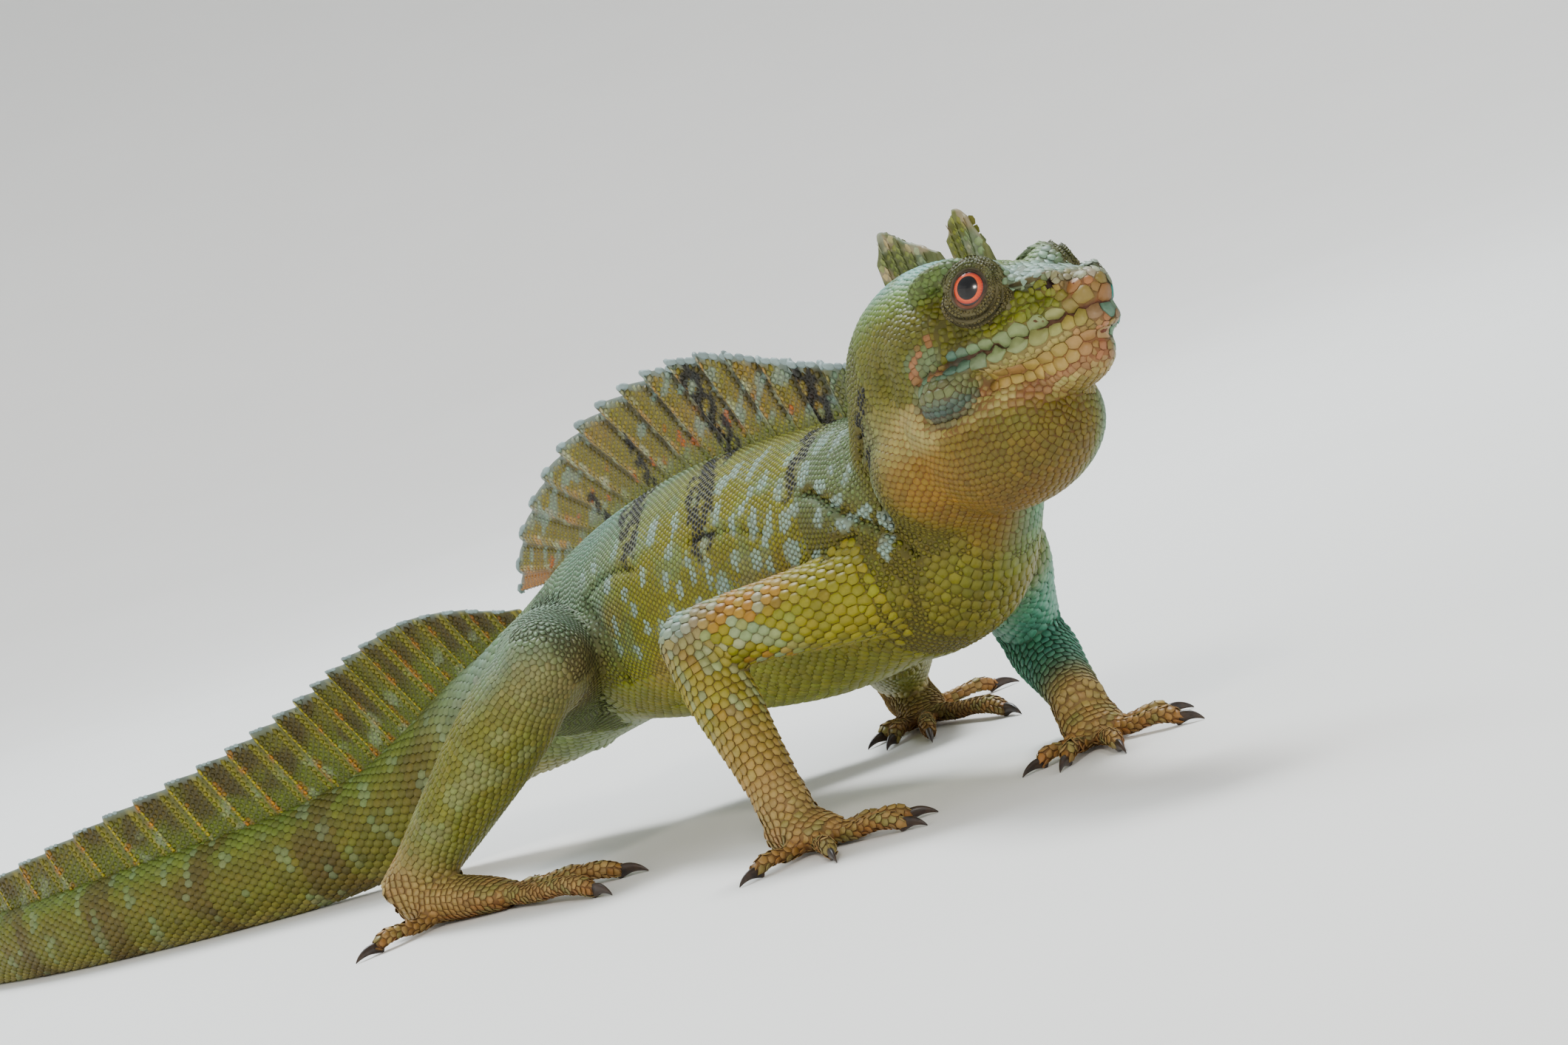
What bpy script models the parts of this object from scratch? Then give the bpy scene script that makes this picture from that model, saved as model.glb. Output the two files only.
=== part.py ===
"""Green basilisk, an adult male at life size, sitting propped on its forelegs with its head raised.

Units are metres and +Z is up. The animal faces +X and its left side is +Y. While it is modelled, the
floor is z = 0 and the shoulders are over x = 0. At the end the model is moved so that the
middle of its footprint stands on the origin.
"""
import math

import bmesh
import bpy
from mathutils import Matrix, Vector

MM = 0.001

# Driving sizes
GAP = 0.3 * MM                  # between neighbouring nodes
BODY_VOXEL = 1.2 * MM
HEAD_VOXEL = 0.75 * MM
EYE_RADIUS = 5.4 * MM
HEAD_PLACE = Vector((77.2, 7.2, 80)) * MM      # the front of the mouth line
HEAD_YAW, HEAD_PITCH, HEAD_ROLL = math.radians(8.4), math.radians(4.4), math.radians(-6.5)

TRIANGLES = {
    "head": 3600, "throat_pouch": 560, "neck": 480, "torso": 1300, "tail_base": 340,
    "upper_arm": 240, "forearm": 220, "thigh": 280, "shin": 260, "tail": 230,
    "forefoot": 640, "hindfoot": 680,
}


def mm(*values):
    """A vector given in millimetres."""
    return Vector(values) * MM


# Scene helpers

def clear_scene():
    for obj in list(bpy.data.objects):
        bpy.data.objects.remove(obj, do_unlink=True)
    for col in list(bpy.data.collections):
        bpy.data.collections.remove(col)


def new_collection(name):
    col = bpy.data.collections.new(name)
    bpy.context.scene.collection.children.link(col)
    return col


def mesh_object(name, verts, faces, col):
    mesh = bpy.data.meshes.new(name)
    mesh.from_pydata([tuple(v) for v in verts], [], faces)
    mesh.validate()
    obj = bpy.data.objects.new(name, mesh)
    col.objects.link(obj)
    face_outwards(obj)
    return obj


def face_outwards(obj):
    shape = bmesh.new()
    shape.from_mesh(obj.data)
    bmesh.ops.recalc_face_normals(shape, faces=shape.faces)
    shape.to_mesh(obj.data)
    shape.free()


def applied(obj):
    """The object with its modifiers applied."""
    graph = bpy.context.evaluated_depsgraph_get()
    mesh = bpy.data.meshes.new_from_object(obj.evaluated_get(graph))
    obj.modifiers.clear()
    old = obj.data
    obj.data = mesh
    bpy.data.meshes.remove(old)
    return obj


def remove_all(objects):
    for obj in list(objects):
        bpy.data.objects.remove(obj, do_unlink=True)


def boolean(obj, col, operation, solver="MANIFOLD"):
    """Applies one Boolean with every object of a collection, and removes those objects."""
    mod = obj.modifiers.new("join", "BOOLEAN")
    mod.operation = operation
    mod.operand_type = "COLLECTION"
    mod.collection = col
    mod.solver = solver
    applied(obj)
    remove_all(col.objects)
    return obj


def united(name, col):
    """One closed mesh from a collection of overlapping closed meshes."""
    first = col.objects[0]
    col.objects.unlink(first)
    parts.objects.link(first)
    first.name = name
    if col.objects:
        boolean(first, col, "UNION")
    return first


def fused(obj, voxel, smoothing):
    """Rounds the seams of a union, as flesh is continuous."""
    remesh = obj.modifiers.new("fuse", "REMESH")
    remesh.mode = "VOXEL"
    remesh.voxel_size = voxel
    smooth = obj.modifiers.new("soften", "SMOOTH")
    smooth.factor = 0.5
    smooth.iterations = smoothing
    return applied(obj)


def odd_edges(mesh):
    shape = bmesh.new()
    shape.from_mesh(mesh)
    count = sum(1 for e in shape.edges if len(e.link_faces) != 2)
    shape.free()
    return count


def fewer_triangles(obj, wanted):
    """Thins a mesh to about the wanted triangles, and tries a few more where it would not stay closed."""
    obj.data.calc_loop_triangles()
    now = len(obj.data.loop_triangles)
    full = obj.data.copy()
    for extra in (0, 6, 14, 26, 40, 60, 90, 130):
        obj.data = full.copy()
        triangulate = obj.modifiers.new("triangles", "TRIANGULATE")
        triangulate.quad_method = "BEAUTY"
        decimate = obj.modifiers.new("fewer", "DECIMATE")
        decimate.ratio = min((wanted + extra) / now, 1)
        closed(applied(obj))
        if not odd_edges(obj.data):
            break
    bpy.data.meshes.remove(full)
    return obj


def largest_body(obj):
    """Keeps only the largest closed surface of a mesh."""
    shape = bmesh.new()
    shape.from_mesh(obj.data)
    unseen = set(shape.faces)
    best = []
    while unseen:
        stack = [unseen.pop()]
        found = []
        while stack:
            face = stack.pop()
            found.append(face)
            for edge in face.edges:
                for other in edge.link_faces:
                    if other in unseen:
                        unseen.remove(other)
                        stack.append(other)
        if sum(f.calc_area() for f in found) > sum(f.calc_area() for f in best):
            best = found
    keep = set(best)
    bmesh.ops.delete(shape, geom=[f for f in shape.faces if f not in keep], context="FACES")
    loose = [v for v in shape.verts if not v.link_faces]
    bmesh.ops.delete(shape, geom=loose, context="VERTS")
    shape.to_mesh(obj.data)
    shape.free()
    return obj


# Shape helpers

def smooth_row(rows, position):
    """Reads a Catmull-Rom curve through rows of numbers at a position from 0 to len(rows) - 1."""
    last = len(rows) - 1
    i = min(int(position), last - 1)
    t = position - i
    before = rows[max(i - 1, 0)]
    after = rows[min(i + 2, last)]
    found = []
    for a, b, c, d in zip(before, rows[i], rows[i + 1], after):
        found.append(0.5 * (2 * b + (c - a) * t + (2 * a - 5 * b + 4 * c - d) * t * t
                            + (3 * b - a - 3 * c + d) * t ** 3))
    return found


def resampled(rows, steps):
    """Rows read off the smooth curve, with so many steps between each two given rows."""
    count = (len(rows) - 1) * steps
    return [smooth_row(rows, i / steps) for i in range(count + 1)]


def superellipse(angle, squareness):
    """A point of a unit outline, round at squareness 2 and boxy above it."""
    c, s = math.cos(angle), math.sin(angle)
    power = 2 / squareness
    return math.copysign(abs(c) ** power, c), math.copysign(abs(s) ** power, s)


def loft(name, rows, col, sides=20, steps=3, up=Vector((0, 0, 1)), squareness=2.2):
    """A closed body through sections. A row is x, y, z, half width, height above and depth below."""
    rows = resampled(rows, steps)
    centres = [Vector(r[:3]) * MM for r in rows]
    verts = []
    faces = []
    for i, row in enumerate(rows):
        along = centres[min(i + 1, len(rows) - 1)] - centres[max(i - 1, 0)]
        along.normalize()
        side = up.cross(along).normalized()
        top = along.cross(side).normalized()
        for k in range(sides):
            x, z = superellipse(2 * math.pi * k / sides, squareness)
            height = row[4] if z > 0 else row[5]
            verts.append(centres[i] + side * x * row[3] * MM + top * z * height * MM)
    for i in range(len(rows) - 1):
        for k in range(sides):
            a, b = i * sides + k, i * sides + (k + 1) % sides
            faces.append((a, b, b + sides, a + sides))
    faces.append(tuple(range(sides)))
    start = (len(rows) - 1) * sides
    faces.append(tuple(range(start, start + sides)))
    return mesh_object(name, verts, faces, col)


def ball(name, place, radii, col, matrix=Matrix.Identity(4), segments=20, rings=12):
    """An ellipsoid. The place and radii are in millimetres."""
    mesh = bpy.data.meshes.new(name)
    shape = bmesh.new()
    bmesh.ops.create_uvsphere(shape, u_segments=segments, v_segments=rings, radius=1)
    size = Matrix.Diagonal((*(r * MM for r in radii), 1))
    shape.transform(matrix @ Matrix.Translation(Vector(place) * MM) @ size)
    shape.to_mesh(mesh)
    shape.free()
    obj = bpy.data.objects.new(name, mesh)
    col.objects.link(obj)
    return obj


def slab(name, place, normal, radius, col, thickness=GAP):
    """A thin round plate across a limb or the body, which parts two nodes."""
    mesh = bpy.data.meshes.new(name)
    shape = bmesh.new()
    bmesh.ops.create_cone(shape, cap_ends=True, segments=32, radius1=radius * MM, radius2=radius * MM,
                          depth=thickness)
    turn = Vector(normal).to_track_quat("Z", "Y").to_matrix().to_4x4()
    shape.transform(Matrix.Translation(Vector(place) * MM) @ turn)
    shape.to_mesh(mesh)
    shape.free()
    obj = bpy.data.objects.new(name, mesh)
    col.objects.link(obj)
    return obj


def grown_copy(obj, amount, col):
    """A copy swollen along its normals, used as a cutter that leaves a gap."""
    copy = bpy.data.objects.new(obj.name + "_grown", obj.data.copy())
    col.objects.link(copy)
    swell = copy.modifiers.new("swell", "DISPLACE")
    swell.strength = amount
    swell.mid_level = 0
    return applied(copy)


def separated(obj, seeds):
    """Splits a cut body into its closed pieces and names each by the seed point nearest its middle."""
    bpy.ops.object.select_all(action="DESELECT")
    bpy.context.view_layer.objects.active = obj
    obj.select_set(True)
    bpy.ops.object.mode_set(mode="EDIT")
    bpy.ops.mesh.select_all(action="SELECT")
    bpy.ops.mesh.separate(type="LOOSE")
    bpy.ops.object.mode_set(mode="OBJECT")
    pieces = list(bpy.context.selected_objects)
    named = {}
    for name, seed in seeds.items():
        point = Vector(seed) * MM
        near = min((p for p in pieces), key=lambda p: closeness(p, point))
        named[name] = near
    if len(set(named.values())) < len(named):
        print("two nodes are still one piece:", sorted((o.name, n) for n, o in named.items()))
    for name, piece in named.items():
        piece.name = name
    remove_all([p for p in pieces if p not in named.values()])
    return named


def closed(obj):
    """Merges needle corners and closes any pinhole that thinning left."""
    shape = bmesh.new()
    shape.from_mesh(obj.data)
    bmesh.ops.remove_doubles(shape, verts=shape.verts, dist=0.00001)
    bmesh.ops.dissolve_degenerate(shape, edges=shape.edges, dist=0.000005)
    open_edges = [e for e in shape.edges if len(e.link_faces) == 1]
    if open_edges:
        bmesh.ops.holes_fill(shape, edges=open_edges, sides=0)
    bmesh.ops.triangulate(shape, faces=shape.faces)
    bmesh.ops.recalc_face_normals(shape, faces=shape.faces)
    odd = sum(1 for e in shape.edges if len(e.link_faces) != 2)
    if odd:
        print("open or doubled edges left in", obj.name, odd)
    shape.to_mesh(obj.data)
    shape.free()
    return obj


def closeness(obj, point):
    """Distance from a point inside the right piece to that piece's surface, or far if it is outside."""
    hit, place, normal, _ = obj.closest_point_on_mesh(point)
    if not hit:
        return 1.0
    inside = (point - place).dot(normal) < 0
    return (point - place).length + (0 if inside else 1.0)


# The frame of the head: x runs forward to the snout tip, z up from the front of the mouth

HEAD = (Matrix.Translation(HEAD_PLACE) @ Matrix.Rotation(HEAD_YAW, 4, "Z")
        @ Matrix.Rotation(-HEAD_PITCH, 4, "Y") @ Matrix.Rotation(HEAD_ROLL, 4, "X"))

SKULL_ROWS = [
    # x, y, z, half width, height above, depth below
    (-1.5, 0, 1.6, 2.4, 2.8, 3.6),
    (-4, 0, 1.6, 4.4, 5.6, 5.4),
    (-9, 0, 1.5, 6.6, 8.6, 7.2),
    (-16, 0, 1.0, 9.0, 11.4, 8.2),
    (-24, 0, 0.5, 11.8, 15.0, 9.2),
    (-32, 0, -0.5, 14.6, 19.0, 10.6),
    (-41, 0, -1.5, 16.4, 22.0, 12.0),
    (-50, 0, -3.0, 14.8, 22.5, 12.5),
    (-56, 0, -5.0, 13.6, 20.5, 13.0),
    (-61, 0, -8.0, 12.0, 15.0, 12.0),
]

EYE_PLACE = (-22.0, 8.9, 9.4)       # of the left eye; the right one has y turned round
MOUTH_LINE = [(-0.6, 0.0, 0.5), (-3.3, 3.7, 0.5), (-8.2, 6.5, 0.2), (-15, 9.4, -0.7), (-22, 11.6, -0.7),
              (-28, 14.0, -1.0), (-33.3, 15.6, -0.9), (-37.2, 16.1, -2.4), (-38.2, 16.2, -5.0)]


def head_rows(rows):
    """Section rows given in the head's frame, turned into the animal's frame."""
    turned = []
    for row in rows:
        place = HEAD @ (Vector(row[:3]) * MM) / MM
        turned.append((*place, *row[3:]))
    return turned


def at_head(x, y, z):
    """A point of the head's frame in the animal's frame, in millimetres."""
    return tuple(HEAD @ (Vector((x, y, z)) * MM) / MM)


def head_up():
    return HEAD.to_3x3() @ Vector((0, 0, 1))


def build_head_flesh(col):
    """Skull, jaws, brows, lips, jowls and throat pouch as overlapping bodies."""
    loft("skull", head_rows(SKULL_ROWS), col, sides=24, up=head_up(), squareness=2.3)
    for side in (1, -1):
        # Brow ridge and the bony edge that runs from it to the nostril
        loft("brow", head_rows([
            (-6, side * 4.6, 7.6, 1.4, 1.4, 1.6),
            (-13, side * 7.2, 10.6, 1.7, 1.6, 2.2),
            (-19, side * 9.4, 14.0, 2.2, 1.8, 2.8),
            (-25, side * 10.6, 15.6, 2.4, 1.8, 3.0),
            (-31, side * 11.8, 15.4, 2.2, 1.8, 3.0),
            (-36, side * 12.6, 13.6, 1.4, 1.4, 2.4),
        ]), col, sides=10, up=head_up())
        # The two lips, a raised row each above and below the mouth
        for name, lift, thick in (("upper_lip", 2.0, 1.7), ("lower_lip", -2.2, 1.8)):
            rows = []
            for x, y, z in MOUTH_LINE:
                rows.append((x - 0.2, side * max(y - 0.9, 0.0), z + lift, thick, thick, thick))
            loft(name, head_rows(rows), col, sides=10, up=head_up())
        ball("jowl", (-37, side * 9.5, -9.0), (12.5, 7.6, 8.0), col, HEAD)
        ball("mouth_corner", (-32.5, side * 13.2, -5.6), (6.2, 4.2, 3.4), col, HEAD)
        ball("cheek", (-38, side * 10.5, 3.0), (11, 6.6, 10), col, HEAD)
        lid = EYE_RADIUS / MM + 1.5
        ball("lids", (EYE_PLACE[0], side * EYE_PLACE[1], EYE_PLACE[2]), (lid, lid, lid), col, HEAD)
        ball("nostril_rim", (-6.4, side * 4.9, 6.3), (2.2, 1.8, 2.0), col, HEAD)
    ball("nose_bump", (-2.6, 0, 4.4), (3.4, 3.8, 3.4), col, HEAD)
    ball("pouch", (-37, 0, -14.0), (23, 15.0, 14.0), col, HEAD)
    ball("pouch_rear", (-53, 0, -15.0), (15, 16.5, 14.0), col, HEAD)
    ball("chin", (-14, 0, -6.0), (11, 6.4, 6.2), col, HEAD)
    loft("nape", NAPE_ROWS, col, sides=24)


def groove(name, points, radius, col):
    """A thin tube along points of the animal's frame, as a mesh cutter."""
    curve = bpy.data.curves.new(name, "CURVE")
    curve.dimensions = "3D"
    curve.bevel_depth = radius * MM
    curve.bevel_resolution = 1
    curve.use_fill_caps = True
    spline = curve.splines.new("POLY")
    spline.points.add(len(points) - 1)
    for knot, point in zip(spline.points, points):
        knot.co = (*(Vector(point)), 1)
    line = bpy.data.objects.new(name, curve)
    col.objects.link(line)
    bpy.context.view_layer.update()
    graph = bpy.context.evaluated_depsgraph_get()
    mesh = bpy.data.meshes.new_from_object(line.evaluated_get(graph))
    bpy.data.objects.remove(line, do_unlink=True)
    shape = bmesh.new()
    shape.from_mesh(mesh)
    bmesh.ops.remove_doubles(shape, verts=shape.verts, dist=0.00001)
    bmesh.ops.recalc_face_normals(shape, faces=shape.faces)
    shape.to_mesh(mesh)
    shape.free()
    obj = bpy.data.objects.new(name, mesh)
    col.objects.link(obj)
    return obj


EYE_GAZE = (0.51, 0.82, 0.26)       # of the left eye, in the head's frame


def on_surface(obj, point, centre):
    """The place where a ray from a point of the core out through another point leaves the mesh."""
    start = Vector(centre)
    direction = (Vector(point) - start).normalized()
    far = start + direction * 0.08
    hit, place, _, _ = obj.ray_cast(far, -direction)
    return place if hit else Vector(point)


def cut_head_details(head, col):
    """Mouth line, nostrils, ear drums, lid folds and eye sockets."""
    core = [(-2, 0, 0), (-14, 0, 0), (-26, 0, -2), (-38, 0, -6)]
    line = []
    full = [(x, -y, z) for x, y, z in reversed(MOUTH_LINE)] + MOUTH_LINE[1:]
    for x, y, z in resampled(full, 3):
        inner = smooth_row(core, min(max((-x - 2) / 12, 0), 3))
        line.append(on_surface(head, HEAD @ mm(x, y, z), HEAD @ mm(inner[0], 0, z)))
    groove("mouth_groove", line, 0.55, col)
    for side in (1, -1):
        eye = (EYE_PLACE[0], side * EYE_PLACE[1], EYE_PLACE[2])
        socket = EYE_RADIUS / MM + GAP / MM
        ball("socket", eye, (socket, socket, socket), col, HEAD, segments=28, rings=18)
        ball("nostril", (-6.0, side * 6.6, 6.5), (1.1, 1.6, 0.9), col, HEAD, segments=12, rings=8)
        ball("ear_drum", (-46.5, side * 17.6, 1.0), (3.4, 2.2, 4.4), col, HEAD, segments=18, rings=10)
        gaze = Vector((EYE_GAZE[0], side * EYE_GAZE[1], EYE_GAZE[2])).normalized()
        turn = gaze.to_track_quat("Z", "Y").to_matrix().to_4x4()
        opening = HEAD @ Matrix.Translation(mm(*eye)) @ turn
        ball("lid_opening", (0, 0, 7.5), (3.7, 3.5, 5.0), col, opening, segments=24, rings=14)
        for spread in (40, 56, 71):
            ring = []
            for k in range(25):
                a = 2 * math.pi * k / 24
                tilt = math.radians(spread)
                out = Vector((math.sin(tilt) * math.cos(a), math.sin(tilt) * math.sin(a), math.cos(tilt)))
                ring.append(on_surface(head, opening @ (out * 9 * MM), opening @ (out * 3 * MM)))
            groove("lid_fold", ring, 0.3, col)
    return boolean(head, col, "DIFFERENCE")


# The body

TRUNK_ROWS = [
    # x, y, z, half width, height above, depth below
    (30, 3, 60, 11, 12, 12),
    (20, 1.5, 55.5, 14.5, 18, 18),
    (6, 0, 50.5, 18.5, 24, 23.5),
    (-14, -0.5, 47.5, 20.8, 27, 22.5),
    (-40, -1.5, 46, 23.5, 28.5, 24),
    (-68, -2, 45, 25.5, 28.3, 23),
    (-95, -3, 43, 24.5, 26.5, 20),
    (-118, -4, 41, 20.5, 23.5, 17),
    (-138, -5, 38.7, 17, 19.6, 17),
    (-156, -8, 35.5, 14, 16.5, 17),
    (-172, -12, 31.5, 11.6, 14.6, 15),
]

NAPE_ROWS = [(*at_head(-46, 0, -1), 14, 19.0, 15), (*at_head(-56, 0, -6), 14, 17.6, 16),
             (12, 0.5, 60, 14.6, 16.6, 18), (2, 0, 54, 16.5, 21, 22), (-12, 0, 49, 18, 24, 22)]

TAIL_ROWS = [
    (-150, -6.5, 36, 14, 16, 17),
    (-168, -11, 33, 12, 14.6, 15.5),
    (-186, -16.5, 28, 10.2, 13.6, 14),
    (-202, -24, 21, 9.2, 13.0, 13.2),
    (-219, -33, 15.2, 8.5, 12.5, 12.8),
    (-244, -47, 12.2, 7.7, 11.6, 12.3),
    (-278, -65, 11.2, 6.8, 10.6, 11.4),
    (-318, -80, 10.0, 6.0, 9.4, 10.2),
    (-366, -88, 8.6, 5.2, 8.0, 8.8),
    (-418, -86, 7.0, 4.4, 6.5, 7.2),
    (-468, -73, 5.6, 3.7, 5.2, 5.8),
    (-516, -56, 4.4, 3.0, 4.0, 4.6),
    (-564, -44, 3.2, 2.4, 3.0, 3.4),
    (-610, -42, 2.3, 1.8, 2.2, 2.5),
    (-652, -48, 1.5, 1.1, 1.4, 1.7),
]

JOINTS = {
    # right and left, in millimetres
    "R": {
        "shoulder": (4, -15.5, 43), "elbow": (-25, -39, 43.5), "wrist": (-12.5, -38.5, 12),
        "hip": (-136, -14, 39), "knee": (-86, -41, 46), "ankle": (-127, -66.5, 10),
    },
    "L": {
        "shoulder": (3, 15, 40), "elbow": (-27, 33, 21.5), "wrist": (2, 21, 9.5),
        "hip": (-136, 7, 38), "knee": (-101, 44, 26), "ankle": (-142, 66, 10),
    },
}

ARM_SIZES = {"shoulder": 9.0, "upper": 7.6, "elbow": 6.4, "fore": 6.7, "wrist": 5.0}
LEG_SIZES = {"hip": 14.5, "upper": 12.6, "knee": 9.4, "calf": 9.6, "ankle": 6.0}


def between(a, b, share):
    return [p + (q - p) * share for p, q in zip(a, b)]


def limb_row(place, radius, flat=1.0):
    return (*place, radius, radius * flat, radius * flat)


def build_limbs(col):
    for side in ("R", "L"):
        j = JOINTS[side]
        out = -1 if side == "R" else 1
        a = ARM_SIZES
        shoulder_root = (j["shoulder"][0] + 6, out * 7, j["shoulder"][2] + 3)
        loft("arm_upper", [
            limb_row(shoulder_root, a["shoulder"] + 1), limb_row(j["shoulder"], a["shoulder"]),
            limb_row(between(j["shoulder"], j["elbow"], 0.5), a["upper"]),
            limb_row(between(j["shoulder"], j["elbow"], 0.9), a["elbow"] + 0.3),
            limb_row(between(j["shoulder"], j["elbow"], 1.1), a["elbow"] - 1.2),
        ], col, sides=16)
        ball("elbow", j["elbow"], (6.3, 6.3, 6.3), col)
        loft("arm_fore", [
            limb_row(between(j["elbow"], j["wrist"], -0.06), a["elbow"] - 0.6),
            limb_row(between(j["elbow"], j["wrist"], 0.3), a["fore"]),
            limb_row(between(j["elbow"], j["wrist"], 0.75), a["wrist"] + 0.5),
            limb_row(between(j["elbow"], j["wrist"], 1.12), a["wrist"]),
        ], col, sides=16, up=Vector((1, 0, 0)))
        g = LEG_SIZES
        hip_root = (j["hip"][0] + 2, out * 3, j["hip"][2])
        loft("leg_upper", [
            limb_row(hip_root, g["hip"]), limb_row(j["hip"], g["hip"]),
            limb_row(between(j["hip"], j["knee"], 0.5), g["upper"]),
            limb_row(between(j["hip"], j["knee"], 0.9), g["knee"] + 0.4),
            limb_row(between(j["hip"], j["knee"], 1.08), g["knee"] - 2),
        ], col, sides=18)
        ball("knee", j["knee"], (9.0, 9.0, 9.0), col)
        loft("leg_lower", [
            limb_row(between(j["knee"], j["ankle"], -0.04), g["knee"] - 1),
            limb_row(between(j["knee"], j["ankle"], 0.3), g["calf"]),
            limb_row(between(j["knee"], j["ankle"], 0.65), g["calf"] - 1.6),
            limb_row(between(j["knee"], j["ankle"], 0.92), g["ankle"] + 0.3),
            limb_row(between(j["knee"], j["ankle"], 1.08), g["ankle"]),
        ], col, sides=16, up=Vector((1, 0, 0)))


def build_body_flesh(col):
    loft("trunk", TRUNK_ROWS, col, sides=28, squareness=2.15)
    loft("tail", TAIL_ROWS, col, sides=20, steps=4, squareness=2.0)
    build_limbs(col)


# Where a limb leaves the flank: place, direction of the plate's face and its radius
LIMB_ROOTS = {
    "R": {"arm": ((-6, -23.0, 44), (0.11, -0.99, 0), 19), "leg": ((-116, -26.2, 42), (-0.114, -0.993, 0), 35)},
    "L": {"arm": ((-6, 22.0, 36), (0.11, 0.97, -0.25), 20), "leg": ((-116, 21.0, 34), (-0.19, 0.98, -0.2), 33)},
}
ELBOW_PLATE = {"R": 17, "L": 22}
TAIL_CUTS = [1.0, 4.5, 6.5, 8.5, 10.5]
NECK_PLACE, NECK_NORMAL = (9, 1, 58), (1, 0, 0.35)
NAPE_PLACE, NAPE_NORMAL = at_head(-53, 0, -4), (0.97, 0.1, 0.25)


def tail_at(position):
    """A place on the tail's middle line and its direction."""
    here = smooth_row(TAIL_ROWS, position)
    ahead = smooth_row(TAIL_ROWS, min(position + 0.05, len(TAIL_ROWS) - 1.001))
    return Vector(here[:3]), (Vector(ahead[:3]) - Vector(here[:3])).normalized()


def cut_body(body, col):
    """Parts the flesh of the body with thin plates across the neck, limbs and tail."""
    seeds = {"neck": (16, 1, 62), "torso": (-60, 0, 46), "tail_base": (-166, -10, 31)}
    slab("neck_cut", NECK_PLACE, NECK_NORMAL, 34, col)
    slab("tail_root_cut", (-158, -8.5, 34), (1, 0.3, 0.15), 22, col)
    for i, position in enumerate(TAIL_CUTS):
        place, along = tail_at(position)
        if i:
            slab("tail_cut", place, along, 18, col)
    for i in range(1, len(TAIL_CUTS) + 1):
        start = TAIL_CUTS[i - 1] if i > 1 else TAIL_CUTS[0]
        end = TAIL_CUTS[i] if i < len(TAIL_CUTS) else len(TAIL_ROWS) - 1.5
        name = "tail_base" if i == 1 else f"tail_{i}"
        seeds[name] = tuple(tail_at((start + end) / 2)[0])
    for side in ("R", "L"):
        j = JOINTS[side]
        word = "right" if side == "R" else "left"
        upper = Vector(j["elbow"]) - Vector(j["shoulder"])
        fore = Vector(j["wrist"]) - Vector(j["elbow"])
        thigh = Vector(j["knee"]) - Vector(j["hip"])
        shin = Vector(j["ankle"]) - Vector(j["knee"])
        slab("shoulder_cut", *LIMB_ROOTS[side]["arm"], col)
        slab("elbow_cut", j["elbow"], upper.normalized() + fore.normalized(), ELBOW_PLATE[side], col)
        slab("wrist_cut", between(j["elbow"], j["wrist"], 0.9), fore, 9, col)
        slab("hip_cut", *LIMB_ROOTS[side]["leg"], col)
        slab("knee_cut", j["knee"], thigh.normalized() + shin.normalized(), 27, col)
        slab("ankle_cut", between(j["knee"], j["ankle"], 0.93), shin, 10, col)
        seeds[f"{word}_upper_arm"] = between(j["shoulder"], j["elbow"], 0.6)
        seeds[f"{word}_forearm"] = between(j["elbow"], j["wrist"], 0.5)
        seeds[f"{word}_thigh"] = between(j["hip"], j["knee"], 0.65)
        seeds[f"{word}_shin"] = between(j["knee"], j["ankle"], 0.5)
    return boolean(body, col, "DIFFERENCE"), seeds


# Feet

DIGIT_BEND = 0.35


def digit(name, root, heading, length, radius, claw, col):
    """A toe that leaves the sole, rises to a knuckle and comes down to its claw on the floor."""
    a = math.radians(heading)
    out = Vector((math.cos(a), math.sin(a), 0))
    root = Vector(root)
    rise = [(0.0, 0.0), (0.3, 0.5), (0.62, 1.2), (0.84, 0.8), (1.0, -0.2)]
    size = [1.12, 1.0, 0.96, 1.04, 0.72]
    rows = []
    for (t, lift), scale in zip(rise, size):
        place = root + out * length * t
        floor_height = radius * scale * 0.94
        start = root.z * (1 - min(t / 0.3, 1)) + floor_height * min(t / 0.3, 1)
        rows.append((place.x, place.y, start + lift * radius * 0.5, radius * scale, radius * scale,
                     radius * scale))
    loft(name, rows, col, sides=8, steps=2)
    tip = Vector(rows[-1][:3])
    hook = []
    for t, drop, thick in ((-0.35, -0.1, 0.62), (0.25, -0.35, 0.56), (0.65, 0.1, 0.36), (1.0, 0.95, 0.08)):
        place = tip + out * claw * t
        height = max(tip.z - drop * tip.z * 0.9, thick * radius * 0.6)
        hook.append((place.x, place.y, height, thick * radius, thick * radius * 1.1, thick * radius * 1.1))
    loft(name + "_claw", hook, col, sides=6, steps=2)


FORE_DIGITS = [(85, 10.5, 1.65), (52, 15, 1.75), (22, 18, 1.85), (-22, 16.5, 1.85), (-78, 12, 1.7)]
HIND_DIGITS = [(72, 11, 1.7), (50, 19, 1.85), (30, 29, 2.0), (4, 35, 2.1), (-78, 16, 1.8)]
CLAW_LENGTH = 6.2


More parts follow.
